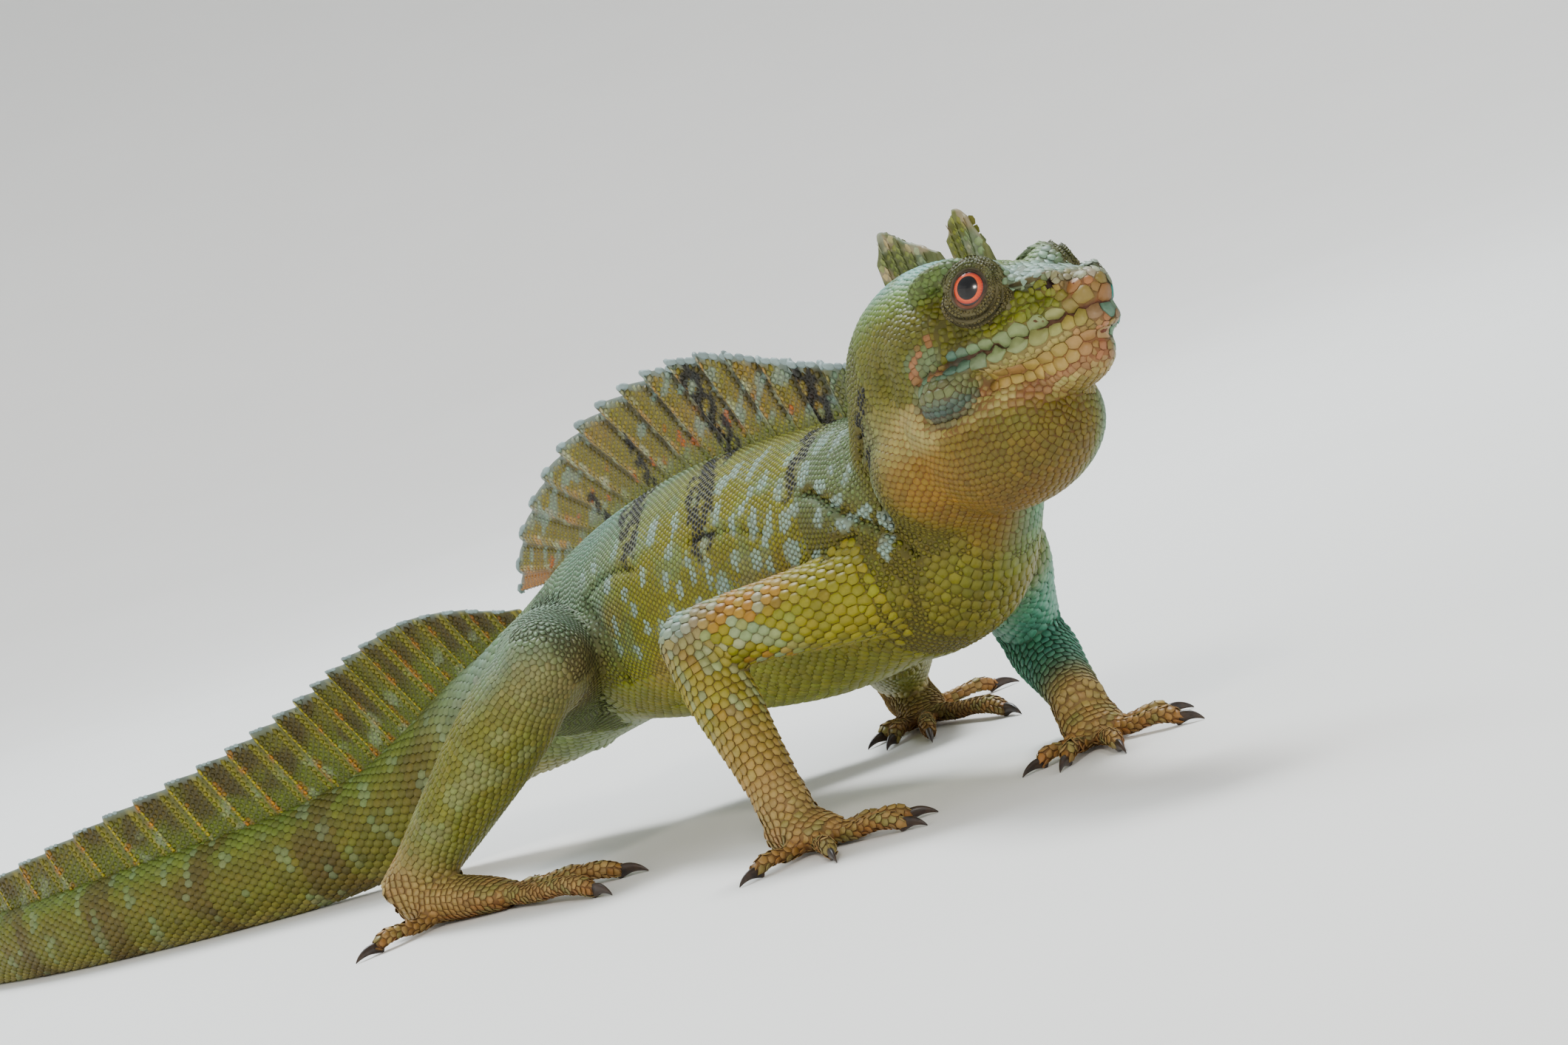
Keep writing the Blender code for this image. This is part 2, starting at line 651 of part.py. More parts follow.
def build_feet(col):
    """The four feet, each a sole or long instep with five toes and their claws."""
    feet = []
    for side in ("R", "L"):
        j = JOINTS[side]
        word = "right" if side == "R" else "left"
        turn = 1 if side == "R" else -1
        wrist = Vector(j["wrist"])
        fore = (wrist - Vector(j["elbow"])).normalized()
        heading = math.radians(20 * turn)
        out = Vector((math.cos(heading), math.sin(heading), 0))
        palm = wrist + out * 5
        top = Vector(between(j["elbow"], j["wrist"], 0.9)) + fore * 0.3
        loft("wrist", [limb_row(top, 5.2), limb_row(wrist - Vector((0, 0, 3.0)) + out * 0.6, 5.4),
                       limb_row(wrist - Vector((0, 0, 6.4)) + out * 2.0, 4.6)],
             col, sides=14, up=Vector((1, 0, 0)))
        loft("palm", [(*(wrist - out * 4.5)[:2], 5.0, 3.6, 2.6, 4.2), (*(wrist + out * 1)[:2], 5.6, 5.6, 4.4, 5.2),
                      (palm.x, palm.y, 4.4, 6.2, 3.6, 4.4), (*(palm + out * 5)[:2], 3.2, 4.8, 2.4, 3.2)],
             col, sides=14)
        for angle, length, radius in FORE_DIGITS:
            a = math.radians(angle * turn)
            spread = Vector((math.cos(a), math.sin(a), 0))
            root = palm + spread * 2.6
            digit("finger", (root.x, root.y, 3.0), angle * turn, length, radius, CLAW_LENGTH, col)
        feet.append((f"{word}_forefoot", united(f"{word}_forefoot", col)))

        ankle = Vector(j["ankle"])
        shin = (ankle - Vector(j["knee"])).normalized()
        heading = math.radians(22 * turn)
        out = Vector((math.cos(heading), math.sin(heading), 0))
        ball_of_foot = ankle + out * 25
        top = Vector(between(j["knee"], j["ankle"], 0.93)) + shin * 0.3
        loft("heel", [limb_row(top, 6.2), limb_row(ankle + shin * 1.5, 6.0), limb_row(ankle + shin * 4.5, 4.4)],
             col, sides=14, up=Vector((1, 0, 0)))
        loft("instep", [
            (*(ankle - out * 5)[:2], 6.0, 3.6, 3.4, 4.6), (*(ankle + out * 0)[:2], 6.6, 5.6, 5.2, 6.2),
            (*(ankle + out * 8)[:2], 5.4, 5.8, 4.4, 5.4), (*(ankle + out * 18)[:2], 4.0, 5.6, 3.6, 4.2),
            (*ball_of_foot[:2], 3.0, 4.8, 2.4, 3.2)],
            col, sides=14)
        for i, (angle, length, radius) in enumerate(HIND_DIGITS):
            a = math.radians(angle * turn)
            spread = Vector((math.cos(a), math.sin(a), 0))
            start = ankle + out * 6 if i == 4 else ankle + out * (16 + 2.2 * i)
            root = start + spread * 2.4
            digit("toe", (root.x, root.y, 3.0), angle * turn, length, radius, CLAW_LENGTH + 0.8, col)
        feet.append((f"{word}_hindfoot", united(f"{word}_hindfoot", col)))
    return feet


# Crests and fins

def fin(name, base, lean, length, count, col, thick=1.5, edge=0.7, rows=4, per_ray=2, sink=3.0,
        scallop=0.09):
    """A thin upright membrane stiffened by rays, which show as ridges on both faces.

    base(t) is the root line, lean(t) the unit direction of a ray, length(t) its length,
    for t from 0 to 1, all in millimetres.
    """
    columns = (count - 1) * per_ray + 1
    middle = []
    half = []
    sideways = []
    for i in range(columns):
        t = i / (columns - 1)
        root = base(t)
        ray = lean(t)
        ahead = base(min(t + 0.01, 1)) - base(max(t - 0.01, 0))
        across = ahead.cross(ray).normalized()
        phase = (i % per_ray) / per_ray
        on_ray = 1 - abs(2 * phase - 1) if phase else 0
        ridge = 1 - on_ray
        reach = length(t) * (1 - scallop * on_ray)
        for k in range(rows + 1):
            s = k / rows
            middle.append(root + ray * (s * (reach + sink) - sink))
            wall = (thick * (1 - s) + edge * s) / 2
            half.append(wall + 0.45 * (ridge ** 2) * (1 - 0.55 * s))
            sideways.append(across)
    verts = []
    for sign in (1, -1):
        verts += [(m + a * h * sign) * MM for m, h, a in zip(middle, half, sideways)]
    faces = []
    step = rows + 1
    other = columns * step

    def both(a, b, c):
        faces.append((a, b, c))
        faces.append((a + other, c + other, b + other))

    for i in range(columns - 1):
        for k in range(rows):
            a = i * step + k
            both(a, a + step, a + step + 1)
            both(a, a + step + 1, a + 1)
    for i in range(columns - 1):
        for k in (0, rows):
            a, b = i * step + k, (i + 1) * step + k
            order = (a, b, b + other, a + other) if k == rows else (b, a, a + other, b + other)
            faces.append((order[0], order[1], order[2]))
            faces.append((order[0], order[2], order[3]))
    for i in (0, columns - 1):
        for k in range(rows):
            a, b = i * step + k, i * step + k + 1
            order = (a, b, b + other, a + other) if i == 0 else (b, a, a + other, b + other)
            faces.append((order[0], order[1], order[2]))
            faces.append((order[0], order[2], order[3]))
    return mesh_object(name, verts, faces, col)


def ramp(points, t):
    """A value read off a smooth curve through evenly spaced values."""
    return smooth_row([(p,) for p in points], t * (len(points) - 1))[0]


SAIL_RIDGE = [(8, 0, 76.5), (-16, -0.5, 74.6), (-40, -1.5, 74.6), (-66, -2, 73.4), (-92, -3, 70.0),
              (-118, -4, 64.6), (-142, -5.5, 57.4)]
SAIL_LENGTHS = [4, 11.5, 18.5, 24.5, 27.5, 29.5, 31.5, 32, 29.5, 20]
SAIL_LEANS = [14, 20, 27, 34, 42, 50, 59, 69, 80, 92]
TAIL_FIN_SPAN = (0.5, 9.6)
TAIL_FIN_LENGTHS = [4, 13, 20, 23.5, 24.5, 23, 20, 16.5, 13, 9.5, 6.5, 4, 2.5]
TAIL_FIN_RAYS = [8, 8, 8, 9]    # in each of the four plates that follow the bend of the tail
TAIL_FIN_GAP = 0.0004           # half the gap between two plates, as a share of the whole fin


def sail_base(t):
    return Vector(smooth_row(SAIL_RIDGE, t * (len(SAIL_RIDGE) - 1)))


def sail_lean(t):
    a = math.radians(ramp(SAIL_LEANS, t))
    return Vector((-math.sin(a), 0, math.cos(a)))


def tail_fin_base(t):
    row = smooth_row(TAIL_ROWS, TAIL_FIN_SPAN[0] + (TAIL_FIN_SPAN[1] - TAIL_FIN_SPAN[0]) * t)
    return Vector((row[0], row[1], row[2] + row[4]))


def tail_fin_lean(t):
    along = (tail_fin_base(min(t + 0.02, 1)) - tail_fin_base(max(t - 0.02, 0))).normalized()
    flat = Vector((along.x, along.y, 0)).normalized()
    return (Vector((0, 0, 1)) + flat * (0.75 - 0.3 * t)).normalized()


def tail_fin_piece(i):
    """One of the plates of the tail fin, between its share of the rays."""
    total = sum(count - 1 for count in TAIL_FIN_RAYS)
    first = sum(count - 1 for count in TAIL_FIN_RAYS[:i])
    start = first / total + (TAIL_FIN_GAP if i else 0)
    end = (first + TAIL_FIN_RAYS[i] - 1) / total - (TAIL_FIN_GAP if i + 1 < len(TAIL_FIN_RAYS) else 0)

    def at(t):
        return start + (end - start) * t

    return fin(f"tail_sail_{i + 1}", lambda t: tail_fin_base(at(t)), lambda t: tail_fin_lean(at(t)),
               lambda t: ramp(TAIL_FIN_LENGTHS, at(t)), TAIL_FIN_RAYS[i], parts, thick=1.4, rows=3, sink=4)


def head_fin(name, start, end, lengths, leans, count, col):
    """A small crest on the midline of the skull, given in the head's frame."""
    turn = HEAD.to_3x3()

    def base(t):
        x = start[0] + (end[0] - start[0]) * t
        z = start[1] + (end[1] - start[1]) * t
        return Vector(at_head(x, 0, z))

    def lean(t):
        a = math.radians(ramp(leans, t))
        return turn @ Vector((-math.sin(a), 0, math.cos(a)))

    return fin(name, base, lean, lambda t: ramp(lengths, t), count, col, thick=2.0, edge=0.8, rows=3,
               sink=2.5, scallop=0.05)


def seated(obj, neighbours, cutters):
    """Trims a crest's root to the skin below it, leaving the gap."""
    for other in neighbours:
        grown_copy(other, GAP, cutters)
    boolean(obj, cutters, "DIFFERENCE")
    return largest_body(obj)


# Materials

COLOURS = {
    "skin": (0.30, 0.36, 0.10), "pouch": (0.52, 0.42, 0.20), "crest": (0.22, 0.27, 0.10),
    "eye": (0.75, 0.16, 0.04), "foot": (0.30, 0.19, 0.09),
}


def material(name, roughness):
    mat = bpy.data.materials.new("basilisk_" + name)
    mat.use_nodes = True
    shader = mat.node_tree.nodes["Principled BSDF"]
    shader.inputs["Base Color"].default_value = (*COLOURS[name], 1)
    shader.inputs["Roughness"].default_value = roughness
    shader.inputs["Metallic"].default_value = 0
    return mat


def dress(nodes):
    finishes = {name: material(name, 0.15 if name == "eye" else 0.6) for name in COLOURS}
    for name, obj in nodes.items():
        finish = "skin"
        if "eye" in name:
            finish = "eye"
        elif "pouch" in name:
            finish = "pouch"
        elif "crest" in name or "sail" in name:
            finish = "crest"
        elif "foot" in name:
            finish = "foot"
        obj.data.materials.clear()
        obj.data.materials.append(finishes[finish])
        obj.data.shade_smooth()
        obj.data.set_sharp_from_angle(angle=math.radians(40))


def rest_on_floor(obj, cutters):
    """Cuts a small flat at floor level under whatever reaches it."""
    mesh = bpy.data.meshes.new("floor")
    shape = bmesh.new()
    bmesh.ops.create_cube(shape, size=1)
    shape.transform(Matrix.Translation(mm(-280, 0, -25)) @ Matrix.Diagonal((1.2, 0.6, 50 * MM, 1)))
    shape.to_mesh(mesh)
    shape.free()
    floor = bpy.data.objects.new("floor", mesh)
    cutters.objects.link(floor)
    return boolean(obj, cutters, "DIFFERENCE")


def budget(name):
    for key, count in TRIANGLES.items():
        if name == key or name.endswith(key):
            return count
    return TRIANGLES["tail"]


def centre_on_origin(nodes):
    """Moves every mesh so that the model's footprint is centred on the origin."""
    corners = [v.co for obj in nodes.values() for v in obj.data.vertices]
    low = Vector([min(c[i] for c in corners) for i in range(3)])
    high = Vector([max(c[i] for c in corners) for i in range(3)])
    shift = Matrix.Translation(-Vector(((low.x + high.x) / 2, (low.y + high.y) / 2, low.z)))
    for obj in nodes.values():
        obj.data.transform(shift)
    print("shift of the model", [round(x * 1000, 2) for x in shift.translation])


clear_scene()
parts = new_collection("green_basilisk")
joining = new_collection("joining")
cutting = new_collection("cutting")


def build():
    nodes = {}
    build_head_flesh(joining)
    head = fused(united("head_flesh", joining), HEAD_VOXEL, 5)
    cut_head_details(head, cutting)
    slab("nape_cut", NAPE_PLACE, NAPE_NORMAL, 40, cutting)
    slab("pouch_cut", at_head(-26, 0, -11.6), (0.10, 0, 1), 60, cutting)
    boolean(head, cutting, "DIFFERENCE")
    found = separated(head, {"head": at_head(-30, 0, 8), "throat_pouch": at_head(-30, 0, -20)})
    nodes.update(found)

    build_body_flesh(joining)
    loft("nape", NAPE_ROWS, joining, sides=24)
    body = fused(united("body_flesh", joining), BODY_VOXEL, 4)
    slab("nape_cut", NAPE_PLACE, NAPE_NORMAL, 40, cutting)
    body, seeds = cut_body(body, cutting)
    found = separated(body, seeds)
    nodes.update(found)
    for name, obj in nodes.items():
        fewer_triangles(obj, budget(name))

    for name, foot in build_feet(joining):
        for near in ("forearm" if "fore" in name else "shin",):
            grown_copy(nodes[name.split("_")[0] + "_" + near], GAP, cutting)
        boolean(foot, cutting, "DIFFERENCE")
        nodes[name] = rest_on_floor(fewer_triangles(largest_body(foot), budget(name)), cutting)

    for side, word in ((-1, "right"), (1, "left")):
        place = (EYE_PLACE[0], side * EYE_PLACE[1], EYE_PLACE[2])
        r = EYE_RADIUS / MM
        nodes[f"{word}_eye"] = ball(f"{word}_eye", place, (r, r, r), parts, HEAD, segments=18, rings=11)

    nodes["back_sail"] = seated(
        fin("back_sail", sail_base, sail_lean, lambda t: ramp(SAIL_LENGTHS, t), 18, parts, sink=4),
        [nodes["torso"], nodes["neck"]], cutting)
    flesh_below = [nodes[n] for n in nodes if n.startswith("tail_")] + [nodes["torso"]]
    for i, rays in enumerate(TAIL_FIN_RAYS):
        nodes[f"tail_sail_{i + 1}"] = seated(tail_fin_piece(i), flesh_below, cutting)
    nodes["front_head_crest"] = seated(
        head_fin("front_head_crest", (-26.5, 16.2), (-35.5, 19.8), [2.5, 9.5, 7.6, 3.0], [4, 10, 14, 20], 5, parts),
        [nodes["head"]], cutting)
    nodes["rear_head_crest"] = seated(
        head_fin("rear_head_crest", (-40, 20.0), (-56, 17.5), [1.5, 4.5, 7.0, 10, 11.5, 7],
                 [16, 16, 16, 14, 12, 14], 7, parts),
        [nodes["head"]], cutting)
    for name in nodes:
        if "tail" in name and "sail" not in name:
            rest_on_floor(nodes[name], cutting)
    dress(nodes)
    centre_on_origin(nodes)
    for col in (joining, cutting):
        bpy.data.collections.remove(col)


build()
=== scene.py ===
# %% [markdown]
# # A plumed green basilisk, life size
# The lizard sits propped on its forelegs with its head turned a little to its left. Its
# look comes from thousands of scales, each a small solid tile, from thin finned crests, and from
# a wet orange eye. The plain solid model gives the pose. This script builds the same flesh
# again, much finer, lays the scales on it row by row, and paints skin and scales with one set
# of markings.

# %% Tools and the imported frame
import math

import bpy
import numpy as np
from mathutils import Matrix, Vector
from mathutils.bvhtree import BVHTree
from mathutils.kdtree import KDTree


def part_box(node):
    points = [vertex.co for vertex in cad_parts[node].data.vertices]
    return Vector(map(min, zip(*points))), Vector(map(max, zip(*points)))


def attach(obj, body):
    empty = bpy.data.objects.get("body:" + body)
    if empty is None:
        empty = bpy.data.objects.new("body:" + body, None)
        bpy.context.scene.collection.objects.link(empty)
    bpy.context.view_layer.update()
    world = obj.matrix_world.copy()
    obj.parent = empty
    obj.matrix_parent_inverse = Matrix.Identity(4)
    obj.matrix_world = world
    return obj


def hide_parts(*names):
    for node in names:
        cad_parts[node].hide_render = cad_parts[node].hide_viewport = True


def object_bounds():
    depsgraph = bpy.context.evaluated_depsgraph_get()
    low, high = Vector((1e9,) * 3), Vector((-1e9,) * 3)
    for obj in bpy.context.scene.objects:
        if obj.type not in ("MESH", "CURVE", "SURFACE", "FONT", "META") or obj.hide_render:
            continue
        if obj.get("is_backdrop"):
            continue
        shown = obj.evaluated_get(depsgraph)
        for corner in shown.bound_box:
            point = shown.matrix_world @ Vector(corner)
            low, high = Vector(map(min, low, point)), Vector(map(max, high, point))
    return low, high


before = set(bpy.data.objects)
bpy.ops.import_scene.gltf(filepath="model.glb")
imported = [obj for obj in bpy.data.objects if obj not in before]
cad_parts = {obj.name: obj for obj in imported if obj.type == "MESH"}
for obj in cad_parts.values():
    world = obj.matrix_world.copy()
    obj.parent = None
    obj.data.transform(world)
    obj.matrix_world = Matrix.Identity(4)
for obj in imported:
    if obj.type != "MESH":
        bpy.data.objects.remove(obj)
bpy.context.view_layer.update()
MM = 0.001
chance = np.random.default_rng(41)

# %% [markdown]
# ## Where things are
# All shapes below are given in millimetres, with the floor at zero height and the shoulders
# over x = 0. The head has its own frame, from the front of the mouth, as it is turned, raised
# and tilted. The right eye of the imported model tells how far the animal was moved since.

# %% The two frames
HEAD_PLACE = np.array([77.2, 7.2, 80.0])
HEAD_AXES = np.array(Matrix.Rotation(math.radians(8.4), 3, "Z")
                     @ Matrix.Rotation(math.radians(-4.4), 3, "Y")
                     @ Matrix.Rotation(math.radians(-6.5), 3, "X"))
EYE_PLACE = np.array([-22.0, 8.9, 9.4])      # the left eye, in the head's frame
EYE_RADIUS = 5.4
EYE_GAZE = np.array([0.51, 0.82, 0.26])


def from_head(points):
    """Points of the head's frame, in the animal's frame."""
    return np.asarray(points, float) @ HEAD_AXES.T + HEAD_PLACE


def to_head(points):
    return (np.asarray(points, float) - HEAD_PLACE) @ HEAD_AXES


low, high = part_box("right_eye")
SHIFT = (np.array(low) + np.array(high)) / 2 / MM - from_head(EYE_PLACE * [1, -1, 1])


def in_place(points):
    """Millimetres of the animal's frame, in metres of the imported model."""
    return (np.asarray(points, float) + SHIFT) * MM


print("the animal was moved by", np.round(SHIFT, 2), "mm")

# %% [markdown]
# ## Floor, light and camera
# A pale floor curves up gently into a wall on all sides, so no horizon cuts the picture. Soft
# light comes from a large cool lamp above, a small warm one in front, a weak wide one at the
# side and a hazy sun. The camera stands almost level with the animal and leans to one side.

# %% A rounded bowl of a floor
FLOOR_RADII = (0.7, 1.4)     # metres of level floor, in two rings
CURVE_RADIUS, CURVE_STEPS, FLOOR_SIDES = 5.0, 24, 96


def ring_faces(rings, sides, start=0):
    """Quads between closed rings of points that follow one another."""
    faces = []
    for i in range(rings - 1):
        for k in range(sides):
            a, b = start + i * sides + k, start + i * sides + (k + 1) % sides
            faces.append((a, a + sides, b + sides, b))
    return faces


def studio_floor():
    profile = [(radius, 0) for radius in FLOOR_RADII]
    for k in range(1, CURVE_STEPS + 1):
        a = math.pi / 2 * k / CURVE_STEPS
        profile.append((FLOOR_RADII[-1] + CURVE_RADIUS * math.sin(a), CURVE_RADIUS * (1 - math.cos(a))))
    angles = [2 * math.pi * k / FLOOR_SIDES for k in range(FLOOR_SIDES)]
    points = [(r * math.cos(a), r * math.sin(a), z) for r, z in profile for a in angles] + [(0, 0, 0)]
    faces = [(k, (k + 1) % FLOOR_SIDES, len(points) - 1) for k in range(FLOOR_SIDES)]
    mesh = bpy.data.meshes.new("studio_floor")
    mesh.from_pydata(points, [], faces + ring_faces(len(profile), FLOOR_SIDES))
    mesh.shade_smooth()
    obj = bpy.data.objects.new("studio_floor", mesh)
    bpy.context.scene.collection.objects.link(obj)
    obj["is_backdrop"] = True
    return obj


floor = studio_floor()
print("floor:", len(floor.data.polygons), "faces")

# %% Camera at the angle of the picture
AZIMUTH, ELEVATION, ROLL, DISTANCE = 61.8, 3.0, 19.1, 855.1
TARGET = (-44.1, -1.7, 57.4)
LENS, SENSOR = 100, 36


def picture_camera():
    a, e, r = (math.radians(v) for v in (AZIMUTH, ELEVATION, ROLL))
    back = Vector((math.sin(a) * math.cos(e), -math.cos(a) * math.cos(e), math.sin(e)))
    right = Vector((math.cos(a), math.sin(a), 0))
    up = back.cross(right)
    across = right * math.cos(r) - up * math.sin(r)
    upward = right * math.sin(r) + up * math.cos(r)
    data = bpy.data.cameras.new("picture_camera")
    data.lens = LENS
    data.sensor_width = SENSOR
    data.sensor_fit = "HORIZONTAL"
    data.clip_start = 0.01
    camera = bpy.data.objects.new("picture_camera", data)
    place = Vector(in_place(TARGET)) + back * DISTANCE * MM
    turned = Matrix((across, upward, back)).transposed().to_4x4()
    camera.matrix_world = Matrix.Translation(place) @ turned
    bpy.context.scene.collection.objects.link(camera)
    bpy.context.scene.camera = camera
    print("camera", round(DISTANCE), "mm from the animal,", round(place.z / MM), "mm above the floor")


picture_camera()

# %% Soft lamps
def lamp(name, kind, place, power, colour=(1, 1, 1), **settings):
    """A lamp at a place in metres from the animal's middle, aimed at it."""
    data = bpy.data.lights.new(name, kind)
    data.energy = power
    data.color = colour
    for key, value in settings.items():
        setattr(data, key, value)
    obj = bpy.data.objects.new(name, data)
    obj.location = Vector(in_place(TARGET)) + Vector(place)
    obj.rotation_euler = (-Vector(place)).to_track_quat("-Z", "Y").to_euler()
    bpy.context.scene.collection.objects.link(obj)


lamp("sky_lamp", "AREA", (-0.95, 0.25, 1.45), 23, (0.80, 0.92, 1.0), size=0.8)
lamp("front_lamp", "AREA", (1.45, -1.0, 1.25), 16, (1.0, 0.95, 0.85), size=0.3)
lamp("fill_lamp", "AREA", (-0.6, -1.9, 0.8), 5, (1.0, 0.97, 0.92), size=2.2)
lamp("day_light", "SUN", (-0.5, 0.3, 1), 2.3, angle=math.radians(15))
world = bpy.data.worlds.new("studio_air")
world.use_nodes = True
air = world.node_tree.nodes["Background"].inputs
air["Color"].default_value = (0.78, 0.82, 0.86, 1)
air["Strength"].default_value = 0.68
bpy.context.scene.world = world

# %% [markdown]
# ## A short way to write materials
# A material is a sum of many nodes, which are tedious to wire one by one. The class below wraps
# an output, so that a number field can be added to or multiplied like any other value, and one
# method makes every other node from its type, its settings and its inputs.

# %% Fields and finishes
def operator(operation, swapped=False):
    """A method that adds a Math node; swapped is for a number that stands before the field."""
    def apply(self, other):
        first, second = (other, self) if swapped else (self, other)
        return self.finish.node("ShaderNodeMath", {"operation": operation}, {0: first, 1: second})

    return apply


class Field:
    """The output of a shader node. Arithmetic with it adds Math nodes."""

    def __init__(self, finish, socket):
        self.finish, self.socket = finish, socket

    __add__, __radd__ = operator("ADD"), operator("ADD", True)
    __sub__, __rsub__ = operator("SUBTRACT"), operator("SUBTRACT", True)
    __mul__, __rmul__ = operator("MULTIPLY"), operator("MULTIPLY", True)


class Finish:
    """A material whose nodes are added by expressions."""

    def __init__(self, name, **constants):
        self.material = bpy.data.materials.new(name)
        self.material.use_nodes = True
        self.shader = self.material.node_tree.nodes["Principled BSDF"]
        for socket, value in constants.items():
            self.shader.inputs[socket.replace("_", " ")].default_value = value

    def node(self, kind, settings=None, inputs=None, output=0):
        made = self.material.node_tree.nodes.new(kind)
        for key, value in (settings or {}).items():
            setattr(made, key, value)
        for key, value in (inputs or {}).items():
            self.wire(made.inputs[key], value)
        return Field(self, made.outputs[output])

    def wire(self, socket, value):
        if isinstance(value, Field):
            self.material.node_tree.links.new(value.socket, socket)
        elif isinstance(value, tuple) and len(value) == 3 and socket.type == "RGBA":
            socket.default_value = (*value, 1)
        else:
            socket.default_value = value

    def set(self, **fields):
        for socket, value in fields.items():
            self.wire(self.shader.inputs[socket.replace("_", " ")], value)
        return self.material

    def attribute(self, name, number=False):
        return self.node("ShaderNodeAttribute", {"attribute_name": name}, output=2 if number else 0)

    def noise(self, scale, detail, roughness=0.55):
        place = self.node("ShaderNodeTexCoord", output=3)
        return self.node("ShaderNodeTexNoise", {}, {"Vector": place, "Scale": scale, "Detail": detail,
                                                    "Roughness": roughness})

    def step(self, value, low, high):
        """A smooth rise from 0 to 1 while a field goes from low to high."""
        return self.node("ShaderNodeMapRange", {"interpolation_type": "SMOOTHSTEP"},
                         {"Value": value, "From Min": low, "From Max": high})

    def mix(self, share, first, second, blend="MIX"):
        return self.node("ShaderNodeMix", {"data_type": "RGBA", "blend_type": blend},
                         {0: share, 6: first, 7: second}, output=2)

    def dyed(self, tint, factors):
        """A colour multiplied by three factors."""
        return self.mix(1.0, tint, factors, "MULTIPLY")

    def bump(self, height, depth, strength):
        return self.node("ShaderNodeBump", {}, {"Height": height, "Distance": depth,
                                                "Strength": strength})


def srgb(*colour):
    """A colour read off a screen, 0 to 255, as the linear numbers that shaders use."""
    c = np.asarray(colour, float) / 255
    return tuple(np.where(c <= 0.04045, c / 12.92, ((c + 0.055) / 1.055) ** 2.4))


def floor_finish():
    f = Finish("pale_floor", Roughness=0.75)
    return f.set(Base_Color=f.mix(f.noise(6, 4), srgb(236, 235, 231), srgb(242, 241, 238)))


floor.data.materials.append(floor_finish())

# %% [markdown]
# ## Flesh from sections
# A limb or a trunk is easiest to shape as a loft: a row of outlines along a curved middle line,
# each with a half width, a height above and a depth below. Curves through the rows are read with
# a Catmull-Rom spline, which passes through every given row.

# %% Curves through rows
def smooth_row(rows, position):
    """Reads rows of numbers at positions from 0 to len(rows) - 1, smoothly."""
    rows = np.asarray(rows, float)
    last = len(rows) - 1
    position = np.clip(np.asarray(position, float), 0, last)
    i = np.minimum(position.astype(int), last - 1)
    t = (position - i)[..., None]
    a, b, c, d = (rows[np.clip(i + k, 0, last)] for k in (-1, 0, 1, 2))
    return 0.5 * (2 * b + (c - a) * t + (2 * a - 5 * b + 4 * c - d) * t ** 2
                  + (3 * b - a - 3 * c + d) * t ** 3)


def rise(value, low, high):
    """A smooth step from 0 to 1 while the value goes from low to high, or down if high is lower."""
    t = np.clip((value - low) / (high - low), 0, 1)
    return t * t * (3 - 2 * t)


def unit(vectors):
    vectors = np.asarray(vectors, float)
    return vectors / np.maximum(np.linalg.norm(vectors, axis=-1, keepdims=True), 1e-9)


class Line:
    """A body part: its middle line with an outline at each place."""

    def __init__(self, rows, steps=4, up=(0, 0, 1), squareness=2.2):
        rows = np.asarray(rows, float)
        self.rows = smooth_row(rows, np.linspace(0, len(rows) - 1, (len(rows) - 1) * steps + 1))
        self.squareness = squareness
        self.middle = self.rows[:, :3]
        along = np.gradient(self.middle, axis=0)
        self.along = unit(along)
        self.side = unit(np.cross(np.asarray(up, float), self.along))
        self.top = np.cross(self.along, self.side)
        hops = np.linalg.norm(np.diff(self.middle, axis=0), axis=1)
        self.distance = np.concatenate([[0], np.cumsum(hops)])
        self.length = self.distance[-1]

    def at(self, distance):
        """Middle, directions and outline sizes at a distance along the line."""
        both = np.concatenate([self.middle, self.along, self.side, self.top, self.rows[:, 3:6]], axis=1)
        found = [np.interp(distance, self.distance, both[:, k]) for k in range(15)]
        return (np.array(found[:3]), unit(found[3:6]), unit(found[6:9]), unit(found[9:12]), found[12:15])

    def outline(self, sizes, angle):
        """Offsets along side and top of the outline at an angle."""
        c, s = np.cos(angle), np.sin(angle)
        power = 2 / self.squareness
        x = np.sign(c) * np.abs(c) ** power * sizes[0]
        z = np.sign(s) * np.abs(s) ** power * np.where(s > 0, sizes[1], sizes[2])
        return x, z


class Clay:
    """Closed bodies that overlap, to be fused later."""

    def __init__(self):
        self.points, self.faces, self.count = [], [], 0

    def add(self, points, faces):
        self.points.append(np.asarray(points, float))
        self.faces += [tuple(k + self.count for k in face) for face in faces]
        self.count += len(points)

    def loft(self, line, sides=24):
        rings = []
        angles = 2 * math.pi * np.arange(sides) / sides
        for i, row in enumerate(line.rows):
            x, z = line.outline(row[3:6], angles)
            rings.append(line.middle[i] + np.outer(x, line.side[i]) + np.outer(z, line.top[i]))
        faces = [(i * sides + k, i * sides + (k + 1) % sides, (i + 1) * sides + (k + 1) % sides,
                  (i + 1) * sides + k)
                 for i in range(len(rings) - 1) for k in range(sides)]
        last = (len(rings) - 1) * sides
        faces += [tuple(reversed(range(sides))), tuple(range(last, last + sides))]
        self.add(np.concatenate(rings), faces)

    def ball(self, place, radii, turned=None, segments=28, rings=16):
        """An ellipsoid; turned is a function that brings its points into the animal's frame."""
        points, faces = sphere(segments, rings)
        points = points * radii + place
        self.add(turned(points) if turned else points, faces)


